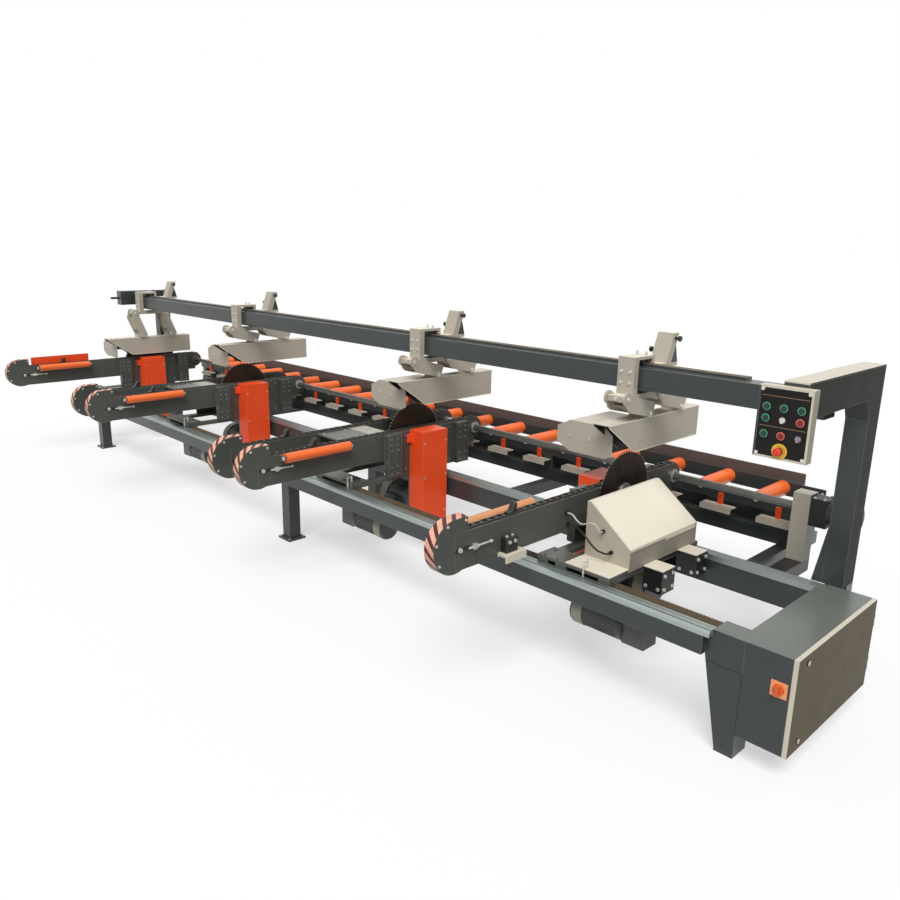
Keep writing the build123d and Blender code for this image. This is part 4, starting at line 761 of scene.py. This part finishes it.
# %% Toothed blades on their spindles
TEETH = 60
BLADE_AT = -0.045
HUB = (BLADE_Y, BLADE_Z)
TOOTH = ((0.0, 0.0), (0.30, 0.0015), (0.42, 0.0130), (0.80, 0.0140), (0.93, 0.0060))
OUTLINE = [polar(HUB, BLADE_R - depth, 2 * pi * (tooth + share) / TEETH)
           for tooth in range(TEETH) for share, depth in TOOTH]
PULLEY_AT, GROOVE = 0.0603, 0.0125
SPINDLE = [  # radius, start and end from the arm's middle, sides
    (0.055, BLADE_AT - 0.010, BLADE_AT - 0.002, 40), (0.055, BLADE_AT + 0.002, BLADE_AT + 0.0145, 40),
    (0.026, BLADE_AT - 0.0118, BLADE_AT - 0.010, 6), (0.0198, BLADE_AT + 0.0145, PULLEY_AT, 24)]
for start in [PULLEY_AT + GROOVE * groove for groove in range(4)]:
    SPINDLE += [(0.055, start, start + 0.006, 40), (0.047, start + 0.006, start + GROOVE, 40)]
for head in HEADS:
    body = f"saw_blade_{head}"
    blade = Shape().prism("x", OUTLINE, *across(head, BLADE_AT - 0.0018, BLADE_AT + 0.0018))
    blade.piece(f"toothed_blade_{head}", body, blade_steel, "blade_steel", replaces=[body])
    turned = Shape()
    for radius, start, end, sides in SPINDLE:
        turned.rod("x", HUB, radius, *across(head, start, end), sides)
    turned.piece(f"spindle_and_pulley_{head}", body, shaft_steel, "blade_steel", 0.0008)
print("teeth per blade", TEETH)

# %% [markdown]
# ## Noses and chain tensioners
# Four bolts hold each nose. Behind them a slot in the cheek lets the idler slide; a thin black plate
# stands in for the shade inside the slot. A long screw in a small block pulls the idler forward. They are
# mirrored on both cheeks of every arm.

# %% Nose bolts, slot shades and screws
NOSE_BOLTS = ((-1.188, 0.846), (-1.170, 0.748), (-1.122, 0.918), (-1.012, 0.926))
SLOT_Z = 0.792


def nose_parts(head, middle, number):
    slot_shades, screws = Shape(), Shape()
    for side in (-1, 1):
        face = middle + side * ARM_HALF
        proud = face + side * 0.0012
        # A thin black plate: painted shade inside the slot.
        slot_shades.prism("x", link_outline((-1.066, SLOT_Z), (-0.996, SLOT_Z), 0.011), face, proud)
        screws.bolt("x", (-1.046, SLOT_Z), proud, 0.013, side)
        for place in NOSE_BOLTS:
            screws.bolt("x", place, face, 0.0075, side)
        screws.block(face, face + side * 0.016, -0.972, -0.948, SLOT_Z - 0.013, SLOT_Z + 0.013)
        line = (face + side * 0.009, SLOT_Z)
        screws.rod("y", line, 0.005, -1.000, -0.845, 12)
        for nut in (-0.946, -0.862):
            screws.rod("y", line, 0.009, nut, nut + 0.010, 6)
    slot_shades.piece(f"tensioner_slot_shades_{head}{number}", BODY[head], rubber, "black_plastic")
    screws.piece(f"tensioner_screws_{head}{number}", BODY[head], bolt_steel, "rail_steel", 0.0006)


for head in HEADS:
    for number, middle in zip("ab", ARM_MIDDLES[head]):
        nose_parts(head, middle, number)
print("noses dressed")

# %% [markdown]
# ## Carriages
# The side plates and uprights are screwed together, so every joint shows a row of hexagon heads, and the
# uprights have narrow flanges, like a rolled channel. Flanges and bolts are two pieces because one is
# painted and the other is not.

# %% Flanges and bolts of the uprights
UPRIGHTS = ((-0.135, -0.025), (0.495, 0.605))
PLATE_LOW, PLATE_TOP = 0.575, 0.868
SIDE_PLATE, UPRIGHT_FACE, FLANGE = 0.042, 0.070, 0.007
for head in HEADS:
    bolts, flanges = Shape(), Shape()
    out = SIDE[head]
    face = MIDDLE[head] + out * UPRIGHT_FACE
    for y0, y1 in UPRIGHTS:
        for edge in (y0, y1 - FLANGE):
            flanges.block(face, face + out * 0.010, edge, edge + FLANGE, PLATE_LOW + 0.001, PLATE_TOP)
        bolts.bolts("x", (y0 + 0.027, y1 - 0.027), (0.600, 0.650, 0.760, 0.800, 0.840), face, 0.009, out)
    bolts.bolts("x", (0.040, 0.330, 0.450), (0.610, 0.840), MIDDLE[head] + out * SIDE_PLATE, 0.009, out)
    bolts.bolts("z", across(head, 0.011, -0.068), (-0.395, -0.310), PLATE_LOW + 0.015, 0.010)
    bolts.piece(f"carriage_bolts_{head}", BODY[head], dull_bolt, "rail_steel")
    flanges.piece(f"upright_flanges_{head}", BODY[head], arm_grey_with_painted_sheen, "anthracite_paint", 0.0015)
print("bolts on", len(HEADS), "carriages")

# %% Work tables and bearing blocks
for head in (2, 3):
    x0, x1 = across(head, -0.280, -0.030)
    table = Shape().block(x0, x1, -0.200, -0.060, PLATE_TOP, PLATE_TOP + 0.0015)
    table.bolts("z", (x0 + 0.035, x1 - 0.035), (-0.420, -0.250), PLATE_TOP, 0.009)
    table.piece(f"table_wear_plate_{head}", BODY[head], table_steel, "rail_steel", 0.0005)
BLOCK_FACE, BLOCK_FRONTS = 3.015, (-0.128, 0.190)
dots = Shape()
for y in BLOCK_FRONTS:
    dots.bolts("x", (y + 0.020, y + 0.095), (0.480, 0.550), BLOCK_FACE, 0.011)
    dots.bolts("y", (BLOCK_FACE - 0.090, BLOCK_FACE - 0.020), (0.480,), y, 0.010, -1)
dots.piece("bearing_block_bolts", "head_1", bolt_steel, "rail_steel")
print("tables and bearing blocks dressed")

# %% [markdown]
# ## Lid and oil pipes
# The pale cover has a folded lid that laps over its side and is cut away at one corner. A thin pipe with
# an elbow brings oil from each travelling carriage to the rail just in front of it.

# %% Folded lid
COVER_LOW, COVER_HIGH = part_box("saw_cover_1")
LID_LEFT, LID_TOP = COVER_LOW.x + 0.022, COVER_HIGH.z
LID_RIGHT, LID_EAVE = COVER_HIGH.x - 0.110, 0.690


def lid_outline(lap):
    """The lid's section across X and Z: along the slope and a lap down the side."""
    lap_end = LID_EAVE - lap
    return [(LID_LEFT, LID_TOP), (LID_LEFT, LID_TOP + 0.004), (LID_RIGHT + 0.003, LID_EAVE + 0.003),
            (LID_RIGHT + 0.003, lap_end), (LID_RIGHT, lap_end), (LID_RIGHT, LID_EAVE)]


lid = Shape().prism("y", lid_outline(0.012), -0.250, 0.060)
lid.prism("y", lid_outline(0.024), 0.060, 0.345)
# The lid is painted in the lighter cream as a painted highlight on its slope.
lid.piece("folded_lid", "head_1", highlight_cream, "cream_paint", 0.0006)
print("lid folded at x", round(LID_RIGHT, 3))

# %% Oil pipes
OIL_X = {1: 2.760, 2: MIDDLE[2] + 0.010, 3: MIDDLE[3] + 0.010}
PIPE_R, PIPE_Y, ELBOW_Y = 0.0035, -0.424, -0.393
for head, x in OIL_X.items():
    foot = 0.594 if head == 1 else 0.590
    pipe = Shape().rod("z", (x, PIPE_Y), PIPE_R, 0.553, foot + 0.040, 12)
    pipe.rod("y", (x, foot + 0.036), PIPE_R, PIPE_Y, ELBOW_Y + 0.003, 12)
    pipe.rod("z", (x, ELBOW_Y), 0.0055, foot, foot + 0.044, 6)
    pipe.rod("z", (x, PIPE_Y), 0.0060, 0.572, 0.584, 6)
    pipe.piece(f"oil_pipe_{head}", BODY[head], bolt_steel, "rail_steel", 0.0005)
print("oil pipes", len(OIL_X))

# %% [markdown]
# ## The clamp beside the first arm
# A black block on a pale bracket holds the end stop of the first head. A few blocks and four bolts are
# all that shows.

# %% Clamp, bracket and bolts
ARM_1_FACE = MIDDLE[1] + ARM_HALF
clamp, bracket, clamp_bolts = Shape(), Shape(), Shape()
clamp.block(ARM_1_FACE, ARM_1_FACE + 0.038, -0.780, -0.700, 0.715, 0.790)
bracket.block(ARM_1_FACE, ARM_1_FACE + 0.058, -0.800, -0.660, 0.706, 0.715)
bracket.block(ARM_1_FACE, ARM_1_FACE + 0.008, -0.800, -0.660, 0.697, 0.706)
bracket.block(ARM_1_FACE + 0.050, ARM_1_FACE + 0.058, -0.800, -0.660, 0.676, 0.706)
for y in (-0.760, -0.722):
    clamp_bolts.bolt("x", (y, 0.768), ARM_1_FACE + 0.038, 0.010)
    clamp_bolts.bolt("z", (ARM_1_FACE + 0.019, y), 0.790, 0.009)
clamp.piece("stop_clamp", "head_1", black_paint, "black_plastic", 0.003)
bracket.piece("stop_bracket", "head_1", cream, "cream_paint", 0.001)
clamp_bolts.piece("stop_clamp_bolts", "head_1", bolt_steel, "rail_steel")
print("clamp at x", round(ARM_1_FACE, 3))

# %% [markdown]
# ## Electric motors
# A totally enclosed motor is a ribbed casting with a sheet fan cover on one end and a terminal box on
# its side. The ribs are thin blocks set round the axis; a turned block is easiest as a small four-corner
# outline in the plane across the axis.

# %% Ribbed motor casing
RIBS = 36
RIB_SECTION = ((-0.002, -0.0022), (0.007, -0.0014), (0.007, 0.0014), (-0.002, 0.0022))


def motor(name, body, middle, radius, start, end, fan_end, box_angle):
    """Ribs, fan cover and terminal box on a motor that lies along X."""
    ribs, fan, box = Shape(), Shape(), Shape()
    length = end - start
    toward = 1 if fan_end > start + length / 2 else -1
    flange = start if toward > 0 else end
    root = flange + toward * 0.03
    cover, lip = fan_end - toward * 0.24 * length, fan_end - toward * 0.012
    grille = fan_end - toward * 0.004
    for out in circle((0, 0), 1, RIBS):
        out, side = Vector(out), Vector((-out[1], out[0]))
        outline = [Vector(middle) + (radius + rise) * out + half * side for rise, half in RIB_SECTION]
        ribs.prism("x", outline, cover, root)
    ribs.tube("x", middle, radius + 0.008, radius - 0.004, flange + toward * 0.001, root)
    ribs.piece(name + "_ribs", body, anthracite, "anthracite_paint")
    fan.rod("x", middle, radius + 0.010, cover, lip, 48)
    fan.rod("x", middle, radius - 0.006, lip, grille, 48)
    for ring in range(4):
        outer = (radius - 0.016) * (1 - 0.22 * ring)
        fan.tube("x", middle, outer, outer - 0.004, grille, fan_end, 32)
    fan.piece(name + "_fan_cover", body, fan_grey, "cream_paint", 0.003)
    y, z = polar(middle, radius + 0.022, box_angle)
    mid, half = (start + end) / 2 - toward * 0.05 * length, min(0.055, radius * 0.6)
    low = 0.8 * half
    box.block(mid - half, mid + half, y - low, y + low, z - low, z + low)
    box.rod("x", (y, z), 0.013, mid - toward * half, mid - toward * (half + 0.022), 16)
    box.piece(name + "_terminal_box", body, anthracite, "anthracite_paint", 0.005)


# %% Saw motors, travel motors and the chain drive
for head in HEADS:
    inner, outer = across(head, ARM_HALF - (0.320 if head < 4 else 0.225), ARM_HALF)
    away = inner if SIDE[head] > 0 else outer
    motor(f"saw_motor_{head}", BODY[head], (BLADE_Y, 0.340), 0.105, inner, outer, away, pi)
TRAVEL = {1: (2.684, 2.984, 2.684), 2: (0.899, 1.199, 1.199), 3: (-1.406, -1.106, -1.106)}
for head, (start, end, fan_end) in TRAVEL.items():
    motor(f"travel_motor_{head}", BODY[head], (-0.340, 0.352), 0.069, start, end, fan_end, radians(20))
DRIVE_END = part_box("chain_drive")[1].x
motor("chain_drive_motor", "machine", SHAFT, 0.065, DRIVE_END - 0.140, DRIVE_END, DRIVE_END, pi / 2)
GEARBOX_TOP = 0.875
gear_bolts = Shape()
gear_bolts.bolts("z", (3.380, 3.430), (SHAFT_Y - 0.045, SHAFT_Y + 0.045), GEARBOX_TOP, 0.009)
gear_bolts.piece("gearbox_bolts", "machine", bolt_steel, "rail_steel")
print("motors dressed")

# %% [markdown]
# ## Hold-downs
# Each carrier hangs on the beam by a post with four bolts. Pins with washers carry the links, and black
# wing screws lock the leaning bar. The hoods are folded sheet; a pale strip along each rim is a painted
# highlight on the narrow edge, and the links are folded channels with broad cheeks.

# %% Carrier bolts, pin ends and wing screws
PIVOT_Z = 1.345
UPPER_PINS = {"front": 0.050, "rear": 0.370}
LOWER_PINS = {"front": 0.343, "rear": 0.663}
POST_FRONT, POST_TOP, STUD_Y = 0.105, 1.554, 0.240


def pin_ends(shape, left, right, y, z):
    """A washer and a nut on both ends of a pin."""
    for face, out in ((left - PIN_REACH, -1), (right + PIN_REACH, 1)):
        shape.rod("x", (y, z), 0.017, face - out * 0.0015, face, 24)
        shape.rod("x", (y, z), 0.012, face, face + out * 0.005, 6)


for head in HEADS:
    left, right = plate_sides(f"press_carrier_{head}")
    middle = (left + right) / 2
    bolts, wings = Shape(), Shape()
    columns = (middle - 0.027, middle + 0.027)
    bolts.bolts("y", columns, (1.420, 1.478), POST_FRONT, 0.010, -1)
    bolts.bolts("z", columns, (STUD_Y,), POST_TOP, 0.010)
    for x in columns:
        bolts.rod("z", (x, STUD_Y), 0.006, POST_TOP, POST_TOP + 0.020, 12)
    bolts.bolt("y", (middle, PIVOT_Z), 0.030, 0.012, -1)
    for y in UPPER_PINS.values():
        pin_ends(bolts, left, right, y, PIVOT_Z)
    bolts.piece(f"carrier_bolts_{head}", CARRIER[head], bolt_steel, "rail_steel", 0.0008)
    for face, out, y, z in ((left, -1, 0.452, 1.560), (right, 1, 0.478, 1.628)):
        wings.rod("x", (y, z), 0.008, face, face + out * 0.020, 12)
        wings.rod("x", (y, z), 0.016, face + out * 0.020, face + out * 0.034, 7)
    wings.piece(f"wing_screws_{head}", CARRIER[head], black_plastic, "black_plastic", 0.002)
print("carriers dressed")

# %% Folded rims of the hoods
LUG_HEIGHT, PIN_DROP, HOOD_DEPTH, SLOPE = 0.032, 0.010, 0.175, 0.240
for head in HEADS:
    hood = f"press_hood_{head}"
    low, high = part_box(hood)
    left, right = plate_sides(hood)
    front, back, top = low.y, high.y, high.z - LUG_HEIGHT
    bottom, turn = top - HOOD_DEPTH, front + SLOPE
    rims, pins = Shape(), Shape()
    slope = [(front, top - 0.008), (front, top - 0.013), (turn, bottom), (turn + 0.003, bottom + 0.003)]
    upper = [(front, top), (front, top - 0.005), (back, top - 0.005), (back, top)]
    lower = [(turn, bottom + 0.004), (turn, bottom), (back, bottom), (back, bottom + 0.004)]
    for face, out in ((left, -1), (right, 1)):
        for outline in (slope, upper, lower):
            rims.prism("x", outline, face, face + out * 0.0015)
    # Pale rims: a painted highlight along the folded edges.
    rims.piece(f"hood_rims_{head}", hood, highlight_cream, "cream_paint")
    for y in LOWER_PINS.values():
        pin_ends(pins, left, right, front + y, high.z - PIN_DROP)
    pins.bolts("y", (left - 0.220, left - 0.090), (bottom + 0.055,), front + 0.100, 0.008, -1)
    pins.piece(f"hood_pins_{head}", hood, bolt_steel, "rail_steel")
print("hoods dressed")

# %% Broad cheeks on the links
LINK_CORNERS = ((-0.020, 0.008), (-0.008, 0.022), (0.020, 0.026), (0.245, 0.070), (0.258, 0.058),
                (0.258, 0.000), (0.246, -0.014), (0.060, -0.054), (0.030, -0.052), (0.006, -0.034))
CHEEK, PROUD = 0.008, 0.0003


def link_cheeks(head, place):
    """Two plates on the outer sides of a link, deeper than the pins need."""
    node = f"press_{place}_link_{head}"
    low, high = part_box(node)
    hood_low, hood_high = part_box(f"press_hood_{head}")
    upper = Vector((UPPER_PINS[place], PIVOT_Z))
    lower = Vector((hood_low.y + LOWER_PINS[place], hood_high.z - PIN_DROP))
    along = (lower - upper).normalized()
    deep = Vector((-along.y, along.x))
    outline = [upper + a * along + b * deep for a, b in LINK_CORNERS]
    cheeks = Shape().prism("x", outline, low.x - PROUD, low.x + CHEEK)
    cheeks.prism("x", outline, high.x - CHEEK, high.x + PROUD)
    cheeks.piece(f"{place}_link_cheeks_{head}", node, worn_and_shaded_cream, "cream_paint", 0.001)


for head in HEADS:
    for place in UPPER_PINS:
        link_cheeks(head, place)
print("links dressed")

# %% [markdown]
# ## Guards and rollers
# The orange guards are held by small screws along their edges, and a bent tab helps to lift them off.
# The rollers turn on fixed axles whose nuts show outside their plates, and each sprocket sleeve on the
# long shaft ends in a bright bolted ring.

# %% Guard screws, tabs and load roller nuts
for head in HEADS:
    out = SIDE[head]
    face = MIDDLE[head] + out * 0.180
    screws, tab, nuts = Shape(), Shape(), Shape()
    for y in (0.090, 0.282):
        for z in (0.300, 0.560, 0.800):
            screws.rod("x", (y, z), 0.006, face, face + out * 0.003, 12)
    screws.piece(f"guard_screws_{head}", BODY[head], bolt_steel, "rail_steel", 0.0005)
    tab.block(*across(head, 0.045, 0.075), 0.062, 0.076, 0.790, 0.850)
    tab.block(*across(head, 0.045, 0.049), 0.046, 0.062, 0.790, 0.850)
    tab.piece(f"guard_tab_{head}", BODY[head], guard_orange, "orange_paint", 0.0015)
    for end, way in ((-0.9303, -1), (-0.4397, 1)):
        nuts.bolt("y", (across(head, 0.070)[0], 0.855), end, 0.014, way)
    nuts.piece(f"load_roller_nuts_{head}", BODY[head], bolt_steel, "rail_steel", 0.0008)
print("guards and rollers dressed")

# %% Bright faces on the sprocket sleeves
SLEEVE_FACE = ARM_HALF + 0.012
for head in HEADS[:3]:
    face = MIDDLE[head] + SLEEVE_FACE
    collar = Shape().tube("x", SHAFT, 0.039, 0.026, face - 0.0003, face + 0.0015)
    for place in circle(SHAFT, 0.033, 4):
        collar.bolt("x", place, face + 0.0015, 0.005)
    collar.piece(f"shaft_collar_{head}", f"drive_sprocket_{head}", bolt_steel, "shaft_steel", 0.0003)
print("sleeves dressed")

# %% [markdown]
# ## Rack and conveyor trim
# The heads travel on a rack: a tooth every twelve millimetres, which is only a loop over small prisms.
# The conveyor's axles are pinned in its side rails with nuts, and pale plates on red brackets fill the
# space in front of it.

# %% Rack teeth
RACK_END, RACK_PITCH = 0.020, 0.012
rack_low, rack_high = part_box("guide_rails")
teeth = Shape()
count = int((rack_high.x - rack_low.x - 2 * RACK_END) / RACK_PITCH)
for number in range(count):
    x = rack_low.x + RACK_END + RACK_PITCH * number
    teeth.prism("y", [(x, 0.542), (x + 0.008, 0.542), (x + 0.006, 0.547), (x + 0.002, 0.547)], -0.391, -0.335)
teeth.piece("rack_teeth", "machine", rack_steel, "rail_steel")
print("rack teeth", count)

# %% Axle nuts, cover plates and brackets
ROLLERS, FIRST_ROLLER, ROLLER_PITCH = 20, 3.010, 0.340
RAIL_FRONT, RAIL_BACK, AXLE_Z, PLATE_Z = 0.815, 1.161, 0.745, 0.665
nuts, plates, brackets = Shape(), Shape(), Shape()
for number in range(ROLLERS):
    x = FIRST_ROLLER - ROLLER_PITCH * number
    nuts.bolt("y", (x, AXLE_Z), RAIL_FRONT, 0.013, -1)
    nuts.bolt("y", (x, AXLE_Z), RAIL_BACK, 0.013)
    brackets.block(x + 0.120, x + 0.150, 0.800, RAIL_FRONT - 0.0001, 0.655, 0.735)
    brackets.block(x + 0.120, x + 0.150, 0.770, 0.800, 0.655, PLATE_Z)
    plates.block(x + 0.040, x + 0.230, 0.745, RAIL_FRONT - 0.0001, PLATE_Z, 0.671)
    plates.block(x + 0.040, x + 0.230, 0.745, 0.749, 0.640, PLATE_Z)
nuts.piece("axle_nuts", "machine", bolt_steel, "rail_steel")
plates.piece("pale_cover_plates", "machine", cream, "cream_paint", 0.001)
brackets.piece("red_brackets", "machine", guard_orange, "orange_paint", 0.001)
print("conveyor trimmed")

# %% [markdown]
# ## Operator panel
# Bright rings round the buttons, a yellow disc under the emergency stop, thin lines between the groups
# and four screws in the corners make a flat black plate read as a panel.

# %% Rings, disc, lines and screws
PANEL_Y = -0.347


def front_middle(node):
    """Middle of a node seen from the front, in X and Z."""
    low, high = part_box(node)
    return (low.x + high.x) / 2, (low.z + high.z) / 2


green_rings, red_rings, black_rings = Shape(), Shape(), Shape()
RINGS = [green_rings] * 4 + [red_rings, green_rings, red_rings, black_rings, black_rings]
RINGED = [f"push_button_{number}" for number in range(1, 8)] + ["selector_1", "selector_2"]
for node, ring in zip(RINGED, RINGS):
    ring.tube("y", front_middle(node), 0.0165, 0.0115, PANEL_Y - 0.0058, PANEL_Y - 0.0038, 40)
green_rings.piece("green_button_rings", "machine", plastic["green_ring"], "green_plastic", 0.0006)
red_rings.piece("red_button_rings", "machine", plastic["faded_red_ring"], "red_plastic", 0.0006)
black_rings.piece("selector_rings", "machine", black_plastic, "black_plastic", 0.0006)
disc, lines, corner_screws = Shape(), Shape(), Shape()
stop = front_middle("emergency_stop")
disc.tube("y", stop, 0.031, 0.0212, PANEL_Y - 0.0016, PANEL_Y + 0.0002, 48)
disc.tube("y", stop, 0.0212, 0.0165, PANEL_Y - 0.0050, PANEL_Y - 0.0038, 48)
disc.piece("stop_disc", "machine", plastic["yellow_disc"], "white_plastic", 0.0004)
for z in (1.4300, 1.5500):
    lines.block(3.500, 3.684, PANEL_Y - 0.0006, PANEL_Y + 0.0002, z - 0.0012, z + 0.0012)
lines.piece("panel_lines", "machine", plastic["brown_panel_line"], "white_plastic")
for x in (3.500, 3.684):
    for z in (1.317, 1.574):
        corner_screws.rod("y", (x, z), 0.0075, PANEL_Y - 0.002, PANEL_Y, 16)
corner_screws.piece("panel_screws", "machine", plastic["white_knob"], "white_plastic")
print("panel dressed")

# %% [markdown]
# ## Cabinet and feet
# The main switch sits on a bright square plate, the door has two quarter-turn locks, thin black strips
# stand in for the shadow in the seams where the end post's cover plate was let in, and the feet are
# bolted to the floor.

# %% Switch plate
switch = front_middle("main_switch")
FRONT = -0.435
PLATE_HALF, SWITCH_HOLE = 0.034, 0.0232
plate = Shape()
for quarter in range(4):
    arc = [radians(45 + 90 * quarter + 90 * step / 8) for step in range(9)]
    outline = [polar(switch, SWITCH_HOLE, angle) for angle in arc]
    outline += [polar(switch, PLATE_HALF * sqrt(2), angle) for angle in (arc[-1], arc[0])]
    plate.prism("y", outline, FRONT - 0.004, FRONT)
plate.piece("switch_plate", "machine", plastic["switch_plate_orange"], "orange_paint")
print("switch plate round", rounded(switch))

# %% Locks, seam shadows and floor bolts
locks, seam_shadows, floor_bolts = Shape(), Shape(), Shape()
LOCK_Y, FOOT = FRONT + 0.095, 0.056
for z in (0.155, 0.508):
    locks.tube("x", (LOCK_Y, z), 0.0125, 0.0085, DOOR_FACE, LOCK_FACE - 0.0008, 24)
    locks.block(LOCK_FACE - 0.001, LOCK_FACE - 0.0002, LOCK_Y - 0.007, LOCK_Y + 0.007, z - 0.0015, z + 0.0015)
locks.piece("door_locks", "cabinet_door", dark_steel, "rail_steel")
# Thin black strips: painted shadow in the seams.
seam_shadows.block(3.4290, 3.5935, -0.4374, -0.4370, 0.3985, 0.4015)
seam_shadows.block(3.5905, 3.5935, -0.4374, -0.4370, 0.1130, 0.3985)
seam_shadows.piece("post_seam_shadows", "machine", rubber, "black_plastic")
for x in (-3.336, 0.148):
    for y in (-0.395, 0.3895):
        floor_bolts.bolts("z", (x - FOOT, x + FOOT), (y - FOOT, y + FOOT), 0.014, 0.008)
floor_bolts.piece("floor_bolts", "machine", bolt_steel, "rail_steel")
print("cabinet dressed")

# %% [markdown]
# ## The stage
# A pale floor runs out under a white sky. The sky gives even light from all round, one soft lamp from
# the upper right gives the tops their brightness, and rays that go straight to the camera or are
# mirrored see pure white, as in the cut-out photograph. The floor is lifted to white for those rays too.

# %% Floor, sky and lamp
SKY_LEVEL, LAMP_LEVEL = 0.42, 2.6
FLOOR_TONE, FLOOR_GLOW, FLOOR_REACH = 0.42, 0.55, 60.0
LAMP_SIZE, LAMP_TILT = radians(35), (radians(26.7), radians(25), 0.0)
BLACK, WHITE = (0.0, 0.0, 0.0), (1.0, 1.0, 1.0)
mesh = bpy.data.meshes.new("floor")
corners = [(x * FLOOR_REACH, y * FLOOR_REACH, 0) for x, y in ((-1, -1), (1, -1), (1, 1), (-1, 1))]
mesh.from_pydata(corners, [], [(0, 1, 2, 3)])
finish = Finish("pale_floor", (FLOOR_TONE,) * 3, 0.9, specular_ior_level=0.0)
finish.feed("Emission Color", finish.mix(finish.seen(), BLACK, WHITE))
finish.feed("Emission Strength", FLOOR_GLOW)
mesh.materials.append(finish.material)
floor = put("floor", mesh)
scene.world = bpy.data.worlds.new("sky")
scene.world.use_nodes = True
sky = Wiring(scene.world.node_tree)
background = sky.tree.nodes["Background"].inputs
sky.plug(background["Color"], WHITE)
sky.plug(background["Strength"], sky.ramp(sky.seen(), 0.0, 1.0, SKY_LEVEL, 1.0))
lamp_data = bpy.data.lights.new("soft_lamp", "SUN")
lamp_data.energy = LAMP_LEVEL
lamp_data.angle = LAMP_SIZE
lamp = put("soft_lamp", lamp_data)
lamp.rotation_euler = LAMP_TILT
scene.view_settings.view_transform = "Standard"
print("stage ready")
